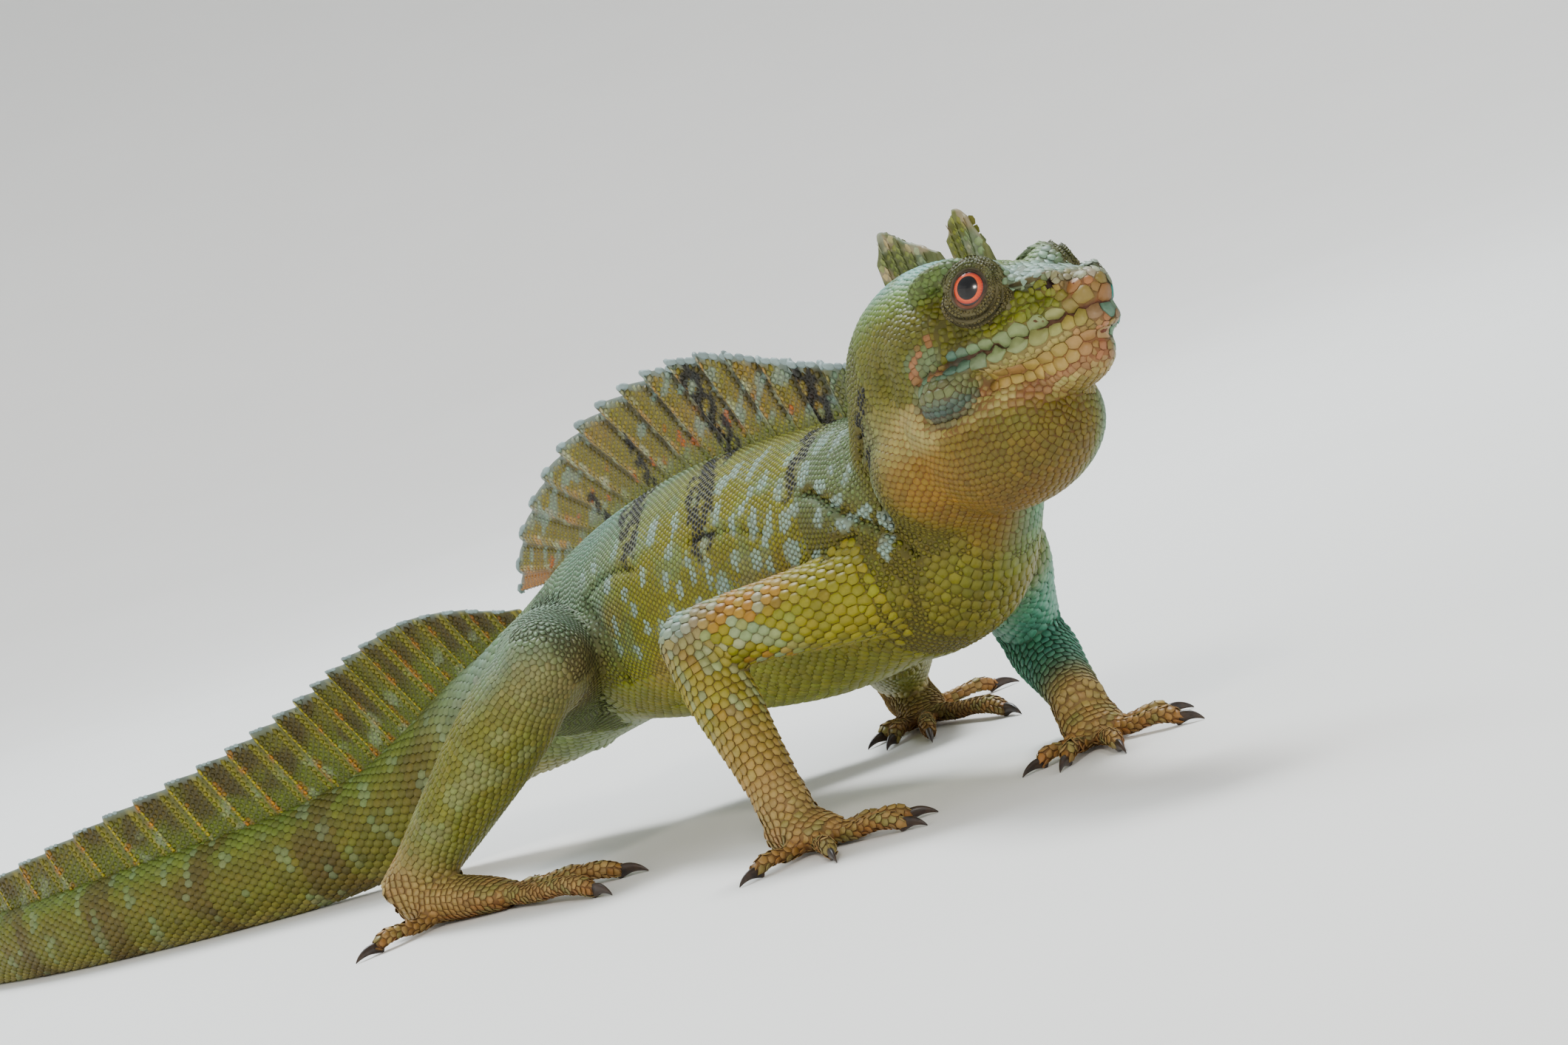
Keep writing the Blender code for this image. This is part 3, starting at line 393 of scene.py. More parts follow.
def sphere(segments, rings):
    """A unit ball of quads with triangles at its poles."""
    points = [(0, 0, 1)]
    for r in range(1, rings):
        a = math.pi * r / rings
        angles = [2 * math.pi * k / segments for k in range(segments)]
        points += [(math.sin(a) * math.cos(b), math.sin(a) * math.sin(b), math.cos(a)) for b in angles]
    points.append((0, 0, -1))
    faces = [(0, 1 + k, 1 + (k + 1) % segments) for k in range(segments)]
    faces += ring_faces(rings - 1, segments, 1)
    start = 1 + (rings - 2) * segments
    faces += [(start + (k + 1) % segments, start + k, len(points) - 1) for k in range(segments)]
    return np.array(points), faces


def grounded(points):
    """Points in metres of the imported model, none below the floor, as a flat row of numbers."""
    return np.maximum(in_place(points), [-np.inf, -np.inf, 0]).astype(np.float32).ravel()


def new_mesh(name, points, faces, smooth=None):
    """A mesh object from points in millimetres. Smooth tells which faces are shaded softly."""
    mesh = bpy.data.meshes.new(name)
    mesh.vertices.add(len(points))
    mesh.vertices.foreach_set("co", grounded(points))
    sizes = np.array([len(f) for f in faces])
    mesh.loops.add(int(sizes.sum()))
    flat = (faces.ravel() if isinstance(faces, np.ndarray)
            else np.concatenate([np.asarray(f) for f in faces]))
    mesh.loops.foreach_set("vertex_index", flat.astype(np.int32))
    mesh.polygons.add(len(faces))
    starts = np.concatenate([[0], np.cumsum(sizes)[:-1]])
    mesh.polygons.foreach_set("loop_start", starts.astype(np.int32))
    mesh.polygons.foreach_set("use_smooth", np.ones(len(faces), bool) if smooth is None else smooth)
    mesh.update(calc_edges=True)
    mesh.validate()
    obj = bpy.data.objects.new(name, mesh)
    bpy.context.scene.collection.objects.link(obj)
    return obj

# %% [markdown]
# ## The rows of the body
# The solid model was made from the same rows: skull, trunk, nape, tail and the joints of the
# legs. A row is a place, a half width, a height above it and a depth below it. The head's rows
# are in its own frame and are turned with it.

# %% Skull, trunk, nape and tail
SKULL_ROWS = [(-1.5, 0, 1.6, 2.4, 2.8, 3.6), (-4, 0, 1.6, 4.4, 5.6, 5.4),
              (-9, 0, 1.5, 6.6, 8.6, 7.2), (-16, 0, 1.0, 9.0, 11.4, 8.2),
              (-24, 0, 0.5, 11.8, 15.0, 9.2), (-32, 0, -0.5, 14.6, 19.0, 10.6),
              (-41, 0, -1.5, 16.4, 22.0, 12.0), (-50, 0, -3.0, 14.8, 22.5, 12.5),
              (-56, 0, -5.0, 13.6, 20.5, 13.0), (-61, 0, -8.0, 12.0, 15.0, 12.0)]
MOUTH_LINE = [(-0.6, 0.0, 0.5), (-3.3, 3.7, 0.5), (-8.2, 6.5, 0.2), (-15, 9.4, -0.7),
              (-22, 11.6, -0.7), (-28, 14.0, -1.0), (-33.3, 15.6, -0.9), (-37.2, 16.1, -2.4),
              (-38.2, 16.2, -5.0)]
BROW_ROWS = [(-6, 4.6, 7.6, 1.4, 1.4, 1.6), (-13, 7.2, 10.6, 1.7, 1.6, 2.2),
             (-19, 9.4, 14.0, 2.2, 1.8, 2.8), (-25, 10.6, 15.6, 2.4, 1.8, 3.0),
             (-31, 11.8, 15.4, 2.2, 1.8, 3.0), (-36, 12.6, 13.6, 1.4, 1.4, 2.4)]
TRUNK_ROWS = [(30, 3, 60, 11, 12, 12), (20, 1.5, 55.5, 14.5, 18, 18), (6, 0, 50.5, 18.5, 24, 23.5),
              (-14, -0.5, 47.5, 20.8, 27, 22.5), (-40, -1.5, 46, 23.5, 28.5, 24),
              (-68, -2, 45, 25.5, 28.3, 23), (-95, -3, 43, 24.5, 26.5, 20),
              (-118, -4, 41, 20.5, 23.5, 17), (-138, -5, 38.7, 17, 19.6, 17),
              (-156, -8, 35.5, 14, 16.5, 17), (-172, -12, 31.5, 11.6, 14.6, 15)]
NAPE_ROWS = [(*from_head((-46, 0, -1)), 14, 19.0, 15), (*from_head((-56, 0, -6)), 14, 17.6, 16),
             (12, 0.5, 60, 14.6, 16.6, 18), (2, 0, 54, 16.5, 21, 22), (-12, 0, 49, 18, 24, 22)]
TAIL_ROWS = [(-150, -6.5, 36, 14, 16, 17), (-168, -11, 33, 12, 14.6, 15.5),
             (-186, -16.5, 28, 10.2, 13.6, 14), (-202, -24, 21, 9.2, 13.0, 13.2),
             (-219, -33, 15.2, 8.5, 12.5, 12.8), (-244, -47, 12.2, 7.7, 11.6, 12.3),
             (-278, -65, 11.2, 6.8, 10.6, 11.4), (-318, -80, 10.0, 6.0, 9.4, 10.2),
             (-366, -88, 8.6, 5.2, 8.0, 8.8), (-418, -86, 7.0, 4.4, 6.5, 7.2),
             (-468, -73, 5.6, 3.7, 5.2, 5.8), (-516, -56, 4.4, 3.0, 4.0, 4.6),
             (-564, -44, 3.2, 2.4, 3.0, 3.4), (-610, -42, 2.3, 1.8, 2.2, 2.5),
             (-652, -48, 1.5, 1.1, 1.4, 1.7)]


def head_rows(rows, side=1):
    """Rows of the head's frame in the animal's frame, on the left (1) or the right (-1)."""
    rows = np.array(rows, float)
    rows[:, 1] *= side
    rows[:, :3] = from_head(rows[:, :3])
    return rows


HEAD_UP = HEAD_AXES[:, 2]
skull = Line(head_rows(SKULL_ROWS), 3, HEAD_UP, 2.3)
trunk = Line(TRUNK_ROWS, 4, squareness=2.15)
nape = Line(NAPE_ROWS, 4)
tail = Line(TAIL_ROWS, 5, squareness=2.0)
print("trunk", round(trunk.length), "mm and tail", round(tail.length), "mm long")

# %% [markdown]
# ## Legs and toes
# Each leg is two short lofts and a ball at the bend. A foot is a flat sole with five toes that
# rise to a knuckle and come down again to the claw. The fourth toe of the hind foot is by far
# the longest, as in all running lizards.

# %% Joints of the four legs
JOINTS = {
    "right": {"shoulder": (4, -15.5, 43), "elbow": (-25, -39, 43.5), "wrist": (-12.5, -38.5, 12),
              "hip": (-136, -14, 39), "knee": (-86, -41, 46), "ankle": (-127, -66.5, 10)},
    "left": {"shoulder": (3, 15, 40), "elbow": (-27, 33, 21.5), "wrist": (2, 21, 9.5),
             "hip": (-136, 7, 38), "knee": (-101, 44, 26), "ankle": (-142, 66, 10)},
}
# each toe's angle in degrees, its length and its radius
FORE_DIGITS = [(85, 10.5, 1.65), (52, 15, 1.75), (22, 18, 1.85), (-22, 16.5, 1.85), (-78, 12, 1.7)]
HIND_DIGITS = [(72, 11, 1.7), (50, 19, 1.85), (30, 29, 2.0), (4, 35, 2.1), (-78, 16, 1.8)]
FORE_TURN, HIND_TURN = 20, 22     # degrees that the feet point outward
CLAW_LENGTH, HIND_CLAW_EXTRA = 4.6, 0.8


def between(a, b, share):
    return np.asarray(a, float) + (np.asarray(b, float) - np.asarray(a, float)) * share


def round_row(place, radius):
    return (*place, radius, radius, radius)


def bone_line(start, end, *rows, first=(), up=(0, 0, 1)):
    """A line from joint to joint; each row has its share of the way and its radius."""
    return Line([*first, *(round_row(between(start, end, share), radius)
                           for share, radius in rows)], up=up)


def leg_lines(side):
    """The lines of one side's upper arm, forearm, thigh and shin."""
    j = {name: np.array(place, float) for name, place in JOINTS[side].items()}
    out = -1 if side == "right" else 1
    shoulder, elbow, wrist, hip, knee, ankle = j.values()
    arm_root = round_row((shoulder[0] + 6, out * 7, shoulder[2] + 3), 10)
    hip_root = round_row((hip[0] + 2, out * 3, hip[2]), 14.5)
    return {
        "upper_arm": bone_line(shoulder, elbow, (0, 9), (0.5, 7.6), (0.9, 6.7), (1.1, 5.2),
                               first=[arm_root]),
        "forearm": bone_line(elbow, wrist, (-0.06, 5.8), (0.3, 6.7), (0.75, 5.5), (1.12, 5.0),
                             up=(1, 0, 0)),
        "thigh": bone_line(hip, knee, (0, 14.5), (0.5, 12.6), (0.9, 9.8), (1.08, 7.4), first=[hip_root]),
        "shin": bone_line(knee, ankle, (-0.04, 8.4), (0.3, 9.6), (0.65, 8.0), (0.92, 6.3), (1.08, 6.0),
                          up=(1, 0, 0)),
    }


TOE_ROWS = [(0.0, 0.0, 1.12), (0.3, 0.5, 1.0), (0.62, 1.2, 0.96), (0.84, 0.8, 1.04),
            (1.0, -0.2, 0.72)]


def heading_of(angle):
    return np.array([math.cos(angle), math.sin(angle), 0])


def toe_line(root, out, length, radius):
    """A toe's line, and the point, direction and radius from which its claw grows."""
    rows = []
    for t, lift, size in TOE_ROWS:
        near = min(t / TOE_ROWS[1][0], 1)
        height = root[2] * (1 - near) + radius * size * 0.94 * near
        rows.append(round_row((*(np.array(root) + out * length * t)[:2],
                               height + lift * radius * 0.5), radius * size))
    return Line(rows, 4), (np.array(rows[-1][:3]), out, radius)


def foot_lines(side, hind):
    """Instep and sole lines, toe lines and claw roots of one foot."""
    j = JOINTS[side]
    turn = 1 if side == "right" else -1
    bend, end = (j["knee"], j["ankle"]) if hind else (j["elbow"], j["wrist"])
    end = np.array(end, float)
    down = unit(end - bend)
    out = heading_of(math.radians((HIND_TURN if hind else FORE_TURN) * turn))
    palm = end + out * 5

    def sole(place, *sizes):
        return (*place[:2], *sizes)

    if hind:
        instep = [round_row(between(bend, end, 0.93) + down * 0.3, 6.2),
                  round_row(end + down * 1.5, 6.0), round_row(end + down * 4.5, 4.4)]
        sole_rows = [sole(end - out * 5, 6.0, 3.6, 3.4, 4.6), sole(end, 6.6, 5.6, 5.2, 6.2),
                     sole(end + out * 8, 5.4, 5.8, 4.4, 5.4), sole(end + out * 18, 4.0, 5.6, 3.6, 4.2),
                     sole(end + out * 25, 3.0, 4.8, 2.4, 3.2)]
    else:
        instep = [round_row(between(bend, end, 0.9) + down * 0.3, 5.2),
                  round_row(end - [0, 0, 3.0] + out * 0.6, 5.4),
                  round_row(end - [0, 0, 6.4] + out * 2.0, 4.6)]
        sole_rows = [sole(end - out * 4.5, 5.0, 3.6, 2.6, 4.2), sole(end + out, 5.6, 5.6, 4.4, 5.2),
                     sole(palm, 4.4, 6.2, 3.6, 4.4), sole(palm + out * 5, 3.2, 4.8, 2.4, 3.2)]
    toes, claws = [], []
    for i, (angle, length, radius) in enumerate(HIND_DIGITS if hind else FORE_DIGITS):
        spread = heading_of(math.radians(angle * turn))
        if hind:
            start = (end + out * 6 if i == 4 else end + out * (16 + 2.2 * i)) + spread * 2.4
        else:
            start = palm + spread * 2.6
        toe, claw = toe_line((*start[:2], 3.0), spread, length + 1.4, radius)
        toes.append(toe)
        claws.append((*claw, CLAW_LENGTH + (HIND_CLAW_EXTRA if hind else 0)))
    return [Line(instep, up=(1, 0, 0)), Line(sole_rows)], toes, claws


limbs = {side: leg_lines(side) for side in JOINTS}
feet = {(side, hind): foot_lines(side, hind) for side in JOINTS for hind in (False, True)}
print("toes with claws:", sum(len(f[1]) for f in feet.values()))

# %% [markdown]
# ## Fused flesh
# The bodies overlap, as clay lumps pressed together do. A voxel remesh turns them into one
# closed surface with even small faces, and a little smoothing rounds the seams. The lumps are
# made smaller by the depth of the scales first, so that the finished coat ends where the
# solid model does.

# %% One closed surface
COAT_DEPTH = 0.32
VOXEL, SMOOTHINGS = 0.72, 5


def flesh_clay():
    clay = Clay()
    clay.loft(skull, 48)
    for side in (1, -1):
        mirror = np.array([1, side, 1])
        clay.loft(Line(head_rows(BROW_ROWS, side), 4, HEAD_UP), 14)
        for lift, thick in ((2.0, 1.7), (-2.2, 1.8)):
            lips = [round_row((x - 0.2, max(y - 0.9, 0.0), z + lift), thick) for x, y, z in MOUTH_LINE]
            clay.loft(Line(head_rows(lips, side), 4, HEAD_UP), 14)
        for place, radii in (((-37, 9.5, -9.0), (12.5, 7.6, 8.0)),
                             ((-32.5, 13.2, -5.6), (6.2, 4.2, 3.4)),
                             ((-38, 10.5, 3.0), (11, 6.6, 10)), (EYE_PLACE, (6.8, 6.8, 6.8)),
                             ((-6.4, 4.9, 6.3), (2.2, 1.8, 2.0))):
            clay.ball(np.array(place) * mirror, radii, from_head)
    for place, radii in (((-2.6, 0, 4.4), (3.4, 3.8, 3.4)), ((-37, 0, -14), (23, 15, 14)),
                         ((-53, 0, -15), (15, 16.5, 14)), ((-14, 0, -6), (11, 6.4, 6.2))):
        clay.ball(place, radii, from_head, 48, 28)
    clay.loft(nape, 48)
    clay.loft(trunk, 64)
    clay.loft(tail, 36)
    for side in JOINTS:
        for line in limbs[side].values():
            clay.loft(line, 32)
        clay.ball(JOINTS[side]["elbow"], (6.3, 6.3, 6.3))
        clay.ball(JOINTS[side]["knee"], (9, 9, 9))
        for hind in (False, True):
            bulk, toes, _ = feet[side, hind]
            for line in bulk + toes:
                clay.loft(line, 18)
    return clay


def fused(clay, voxel, rounds):
    obj = new_mesh("skin", np.concatenate(clay.points), clay.faces)
    remesh = obj.modifiers.new("fuse", "REMESH")
    remesh.mode = "VOXEL"
    remesh.voxel_size = voxel * MM
    soften = obj.modifiers.new("soften", "SMOOTH")
    soften.factor = 0.5
    soften.iterations = rounds
    graph = bpy.context.evaluated_depsgraph_get()
    mesh = bpy.data.meshes.new_from_object(obj.evaluated_get(graph))
    obj.modifiers.clear()
    obj.data = mesh
    return obj


def read_points(obj):
    co = np.zeros(len(obj.data.vertices) * 3, np.float32)
    obj.data.vertices.foreach_get("co", co)
    return co.reshape(-1, 3).astype(float) / MM - SHIFT


def read_normals(obj):
    normal = np.zeros(len(obj.data.vertices) * 3, np.float32)
    obj.data.vertex_normals.foreach_get("vector", normal)
    return normal.reshape(-1, 3).astype(float)


skin = fused(flesh_clay(), VOXEL, SMOOTHINGS)
print("skin:", len(skin.data.vertices), "points")

# %% [markdown]
# ## Folds and hollows
# Skin that bends makes folds: the mouth, the crease behind the jaw, the pleats in front of the
# shoulder and the groin. Each is a line laid on the skin, and the points near it are pressed
# in. Nostrils and ear drums are pressed in the same way from a point, and the eye opening
# from the ball of the lids.

# %% Pressing folds into the skin
SIGNS = {"left": 1, "right": -1}
EYES = {side: from_head(EYE_PLACE * [1, sign, 1]) for side, sign in SIGNS.items()}
GAZES = {side: unit((EYE_GAZE * [1, sign, 1]) @ HEAD_AXES.T) for side, sign in SIGNS.items()}

FOLDS = [
    # line in the animal's frame on the right flank, half width, depth
    ([(-6, -18, 64), (-3.4, -16.7, 63.4), (3.5, -17.4, 60.2), (9.1, -16.8, 57.1), (14.2, -15.9, 54.5),
      (18.2, -14.6, 51.1), (20.6, -13.3, 46.9)], 0.9, 1.1),
    ([(19, -15, 72), (16.5, -14.8, 68), (13.7, -14.1, 66.9), (16.1, -14.5, 60.7),
      (18.1, -14.7, 52.4)], 0.8, 0.9),
    ([(-1, -22.5, 47.5), (1.9, -21.6, 50.9), (4.5, -19.5, 53.2), (9, -18, 53.6)], 0.9, 0.9),
    ([(-91.4, -27, 53.5), (-87, -27.4, 49.7), (-84.2, -27.6, 45.7), (-83.2, -27.4, 40.8),
      (-84, -26, 36)], 1.2, 1.0),
    ([(-92, -26, 54.5), (-84, -25.5, 57.4), (-76, -25.1, 58.7), (-68, -25, 58)], 0.9, 0.5),
    ([(-34, -25.5, 44), (-36, -25.8, 37), (-40, -24, 31)], 1.0, 0.5),
    ([(-20, -20.5, 58.5), (-27, -21.5, 60.5), (-36, -22, 61.2), (-45, -22.5, 60.4)], 1.1, 0.35),
]


def distance_to_line(points, line):
    """The shortest distance from each point to a chain of segments."""
    line = np.asarray(line, float)
    best = np.full(len(points), 1e9)
    for a, b in zip(line[:-1], line[1:]):
        d = b - a
        t = np.clip(((points - a) @ d) / max(d @ d, 1e-9), 0, 1)
        best = np.minimum(best, np.linalg.norm(points - a - t[:, None] * d, axis=1))
    return best


def oval(points, centre, radii):
    """Distance from a centre, 1 on the surface of an ellipsoid with these radii."""
    return np.linalg.norm((points - np.array(centre)) / np.array(radii), axis=1)


def fold_gaps(points):
    """Half width, depth and distance of every fold, on both flanks."""
    for line, width, depth in FOLDS:
        for sign in (1, -1):
            chain = smooth_row(np.array(line) * [1, sign, 1], np.linspace(0, len(line) - 1, 24))
            if sign == -1:
                chain = chain + [0, -3, 0]
            yield width, depth, distance_to_line(points, chain)


MOUTH_PATH = smooth_row(MOUTH_LINE, np.linspace(0, len(MOUTH_LINE) - 1, 60))
MOUTH_DEPTH, MOUTH_WIDTH, LIP_SWELL = 0.5, 0.5, 0.32
JAW_CREASE = smooth_row([(-38.2, 0, -5.0), (-38.2, 0, -8.2), (-35, 0, -10.2), (-31, 0, -10.4),
                         (-27.5, 0, -9.4), (-25.2, 0, -6.6), (-24.6, 0, -4.4)],
                        np.linspace(0, 6, 40))
CREASE_DEPTH, CREASE_WIDTH = 1.7, 1.2
NOSTRIL = np.array([-6.2, 6.0, 6.6])


def bell(distance, width):
    return np.exp(-(distance / width) ** 2)


def relief(points):
    """How far each point of the skin moves out along its normal."""
    move = np.full(len(points), -COAT_DEPTH)
    head = to_head(points)
    there = np.where(head[:, 0] > -66)[0]
    folded = head[there]
    folded[:, 1] = np.abs(folded[:, 1])
    flat = folded * [1, 0, 1]
    gap = distance_to_line(folded, MOUTH_PATH)
    add = -MOUTH_DEPTH * bell(gap, MOUTH_WIDTH)
    crease = np.where(folded[:, 1] > 7, CREASE_DEPTH, 0)
    add -= crease * bell(distance_to_line(flat, JAW_CREASE), CREASE_WIDTH)
    swelling = oval(flat, (-32, 0, -5.0), (7.0, 1, 3.9))
    add += np.where(folded[:, 1] > 8, 1.3, 0) * rise(swelling, 1.0, 0.2)
    lips = (np.abs(gap - 1.9) < 1.9) & (folded[:, 0] > -30)
    add += np.where(lips, LIP_SWELL * np.sin(np.clip(gap / 3.8, 0, 1) * math.pi), 0)
    nostril = oval(folded, NOSTRIL, (0.95, 2.6, 1.15))
    add += 0.45 * bell(nostril - 1.8, 0.5) - 2.0 * np.exp(-nostril ** 4)
    drum = oval(folded, (-46.5, 17.0, 1.0), (3.6, 4.0, 4.6))
    add -= 1.0 / (1 + np.exp((drum - 0.85) * 14))
    move[there] += add
    for width, depth, gap in fold_gaps(points):
        move -= 1.5 * depth * bell(gap, width)
    return move


def gaze_frame(side):
    """The gaze, the direction to the front beside it, and the direction up."""
    gaze = GAZES[side]
    forward = unit(HEAD_AXES[:, 0] - gaze * (HEAD_AXES[:, 0] @ gaze))
    up = np.cross(gaze, forward)
    return gaze, forward, up * np.sign(up @ HEAD_AXES[:, 2])


SOCKET_RADIUS, SOCKET_SLOPE = 4.4, 1.4     # how far the skin round an eye is pressed in
SOCKET_INNER, SOCKET_OUTER = 64, 84        # degrees from the gaze between which it is freed again


def press(obj):
    """Presses the folds and the eye sockets into the skin, and gives the new points."""
    points = read_points(obj)
    points = points + read_normals(obj) * relief(points)[:, None]
    for side, eye in EYES.items():
        away = points - eye
        radius = np.linalg.norm(away, axis=1)
        turn = np.degrees(np.arccos(np.clip((away / radius[:, None]) @ GAZES[side], -1, 1)))
        near_eye = (radius < 15) & (turn < SOCKET_OUTER)
        brow = 9 * rise((away / radius[:, None]) @ gaze_frame(side)[2], 0.3, 0.75)
        free = rise(turn, SOCKET_INNER - brow, SOCKET_OUTER - brow)
        wanted = SOCKET_RADIUS + np.clip((turn - 34) / 30, 0, 1) * SOCKET_SLOPE
        wanted = wanted * (1 - free) + radius * free
        shorter = np.where(near_eye, np.minimum(radius, wanted), radius)
        points = eye + away * (shorter / radius)[:, None]
    points[:, 2] = np.maximum(points[:, 2], 0.04)
    obj.data.vertices.foreach_set("co", grounded(points))
    obj.data.update()
    obj.data.shade_smooth()
    return points


skin_points = press(skin)
skin_normals = read_normals(skin)
skin_faces = [tuple(p.vertices) for p in skin.data.polygons]
skin_tree = BVHTree.FromPolygons([Vector(p) for p in skin_points], skin_faces)


def smooth_normal(face):
    return unit(skin_normals[list(skin_faces[face])].sum(0))


def onto_skin(p):
    """The nearest place of the skin with the smooth normal there."""
    place, _, face, _ = skin_tree.find_nearest(Vector(p))
    return np.array(place), smooth_normal(face)


def on_skin(start, direction, reach):
    """Where a ray meets the skin, with the smooth normal there, or nothing."""
    place, _, face, _ = skin_tree.ray_cast(Vector(start), Vector(direction), reach)
    return None if place is None else (np.array(place), smooth_normal(face))


def above_skin(p):
    """The height over the nearest face of the skin."""
    place, normal, _, _ = skin_tree.find_nearest(Vector(p))
    return (Vector(p) - place).dot(normal)


print("skin pressed, height", round(skin_points[:, 2].max(), 1), "mm")

# %% [markdown]
# ## Where the lids stand
# Each eye is ringed by lids with deep folds. Their surface is a radius from the eye's middle in
# every direction, given by the angle from the gaze and the angle round it. It is worked out here,
# so that the scales of the head know where the lids begin.

# %% The surface of the lids
def gaze_direction(side, theta, phi):
    """Directions theta degrees from the gaze, and phi degrees round it, from the front upward."""
    gaze, forward, up = gaze_frame(side)
    a, b = np.radians(theta)[..., None], np.radians(phi)[..., None]
    return np.cos(a) * gaze + np.sin(a) * (np.cos(b) * forward + np.sin(b) * up)


def lid_opening(phi):
    b = np.radians(phi)
    return 33 + 5.5 * np.sin(b) ** 2 + 4.0 * np.maximum(np.cos(b), 0) ** 6


OUTER_STEP = 5.0
LIDS_DIP, LIDS_END = 66, 82     # degrees from the gaze between which the lids go down to the skin


def skin_reach(side):
    """How far the skin round the lids is from the eye's middle, at even steps round the gaze."""
    eye = Vector(EYES[side])
    phi = np.arange(0, 360, OUTER_STEP)
    hits = [skin_tree.ray_cast(eye, Vector(d), 16)[0]
            for d in gaze_direction(side, np.full(len(phi), 80.0), phi)]
    return np.array([8.0 if hit is None else (hit - eye).length for hit in hits])


OUTER = {side: skin_reach(side) for side in EYES}
for side, outer in OUTER.items():
    print(side, "distance from eye to skin round the lids", np.round(outer[::6], 1))


# the height, the angle from the gaze and the width of each fold of the lids
LOWER_FOLDS = [(0.85, 60, 17), (0.45, 47, 2.8), (0.5, 57.5, 3.0), (0.45, 69, 3.6),
               (-0.5, 52.3, 1.5), (-0.5, 63.5, 1.7)]
UPPER_FOLDS = [(0.4, 49, 3.4), (-0.5, 54.5, 1.8), (0.8, 68, 8)]


def lid_radius(side, theta, phi):
    b = np.radians(phi)
    below, above = rise(-np.sin(b), -0.1, 0.6), rise(np.sin(b), 0.0, 0.6)
    past = theta - lid_opening(phi)
    radius = 5.55 + 0.62 * rise(past, -1, 6)
    for share, folds in ((below, LOWER_FOLDS), (above, UPPER_FOLDS)):
        radius = radius + share * sum(height * bell(theta - at, width) for height, at, width in folds)
    radius = radius + 0.06 * np.sin(np.radians(theta) * 62 + 2 * np.sin(b * 7))
    around = np.arange(len(OUTER[side]) + 1) * OUTER_STEP
    outer = np.interp(np.mod(phi, 360), around, np.append(OUTER[side], OUTER[side][0]))
    outer = np.minimum(outer, 8.6)
    dip = rise(theta, LIDS_DIP, LIDS_END)
    return radius * (1 - dip) + (outer - 0.5) * dip


def lid_points(side, theta, phi):
    return EYES[side] + gaze_direction(side, theta, phi) * lid_radius(side, theta, phi)[..., None]

# %% [markdown]
# ## Laying scales in rows
# A lizard's scales stand in slanting rows, because each ring of scales round the body is moved
# by half a scale against the next. Rays go out from a part's middle line to the skin, one ring
# after another, and scales are set along each ring at even steps. A scale is only set where no
# earlier one is too close, so parts that meet, such as arm and flank, share the skin between
# them, and a last pass fills what no ring has reached.

# %% A coat that knows where its scales are
GRAIN, SCALE, PLATE = 0, 1, 2


class Coat:
    """Places for scales, with a grid of cells to find near ones quickly."""

    cell = 2.6

    def __init__(self):
        self.cells = {}
        self.place, self.normal, self.lie, self.size = [], [], [], []
        self.kind, self.part, self.where = [], [], []

    def fits(self, p, radius):
        reach = 1 if radius < 1.3 else 2
        cx, cy, cz = (int(math.floor(v / self.cell)) for v in p)
        for i in range(cx - reach, cx + reach + 1):
            for j in range(cy - reach, cy + reach + 1):
                for k in range(cz - reach, cz + reach + 1):
                    for x, y, z, r in self.cells.get((i, j, k), ()):
                        limit = 0.8 * (radius + r)
                        if (p[0] - x) ** 2 + (p[1] - y) ** 2 + (p[2] - z) ** 2 < limit * limit:
                            return False
        return True

    def add(self, p, normal, lie, size, kind, part, where=(0, 0), crowded=False):
        radius = 0.5 * min(size)
        if not crowded and not self.fits(p, radius):
            return False
        extra = max(max(size) - 0.6 * min(size), 0) / 2 if kind == PLATE else 0
        for shift in (-extra, 0, extra) if extra > 0.7 else (0,):
            q = np.asarray(p) + np.asarray(lie) * shift * (1 if size[0] > size[1] else 0)
            key = tuple(int(math.floor(v / self.cell)) for v in q)
            self.cells.setdefault(key, []).append((q[0], q[1], q[2], radius))
        stores = (self.place, self.normal, self.lie, self.size, self.kind, self.part, self.where)
        for store, value in zip(stores, (p, normal, lie, size, kind, part, where)):
            store.append(value)
        return True


coat = Coat()
HEAD_PARTS = ("head", "lips", "chin", "snout", "swelling")


def in_eye(p):
    """Whether a place lies in the round of lids and eye."""
    for side, eye in EYES.items():
        away = p - eye
        distance = np.linalg.norm(away)
        if distance > 11:
            continue
        gaze, forward, up = gaze_frame(side)
        theta = math.degrees(math.acos(np.clip(away @ gaze / distance, -1, 1)))
        phi = np.array(math.degrees(math.atan2(away @ up, away @ forward)))
        if theta < 40 or (theta < LIDS_END and distance < lid_radius(side, np.array(theta), phi) + 0.1):
            return True
    return False


MOUTH_CLEAR, CORNER_CLEAR, NOSTRIL_CLEAR = 1.3, 0.7, 1.5


def in_gap(p):
    """Whether a place lies in the mouth line or a nostril, where only lips and rims have scales."""
    h = to_head(p)
    if h[0] < -40 or abs(h[2]) > 10:
        return False
    h[1] = abs(h[1])
    if np.linalg.norm((h - NOSTRIL) / [1, 2, 1]) < NOSTRIL_CLEAR:
        return True
    return np.linalg.norm(MOUTH_PATH - h, axis=1).min() < (MOUTH_CLEAR if h[0] > -31 else CORNER_CLEAR)


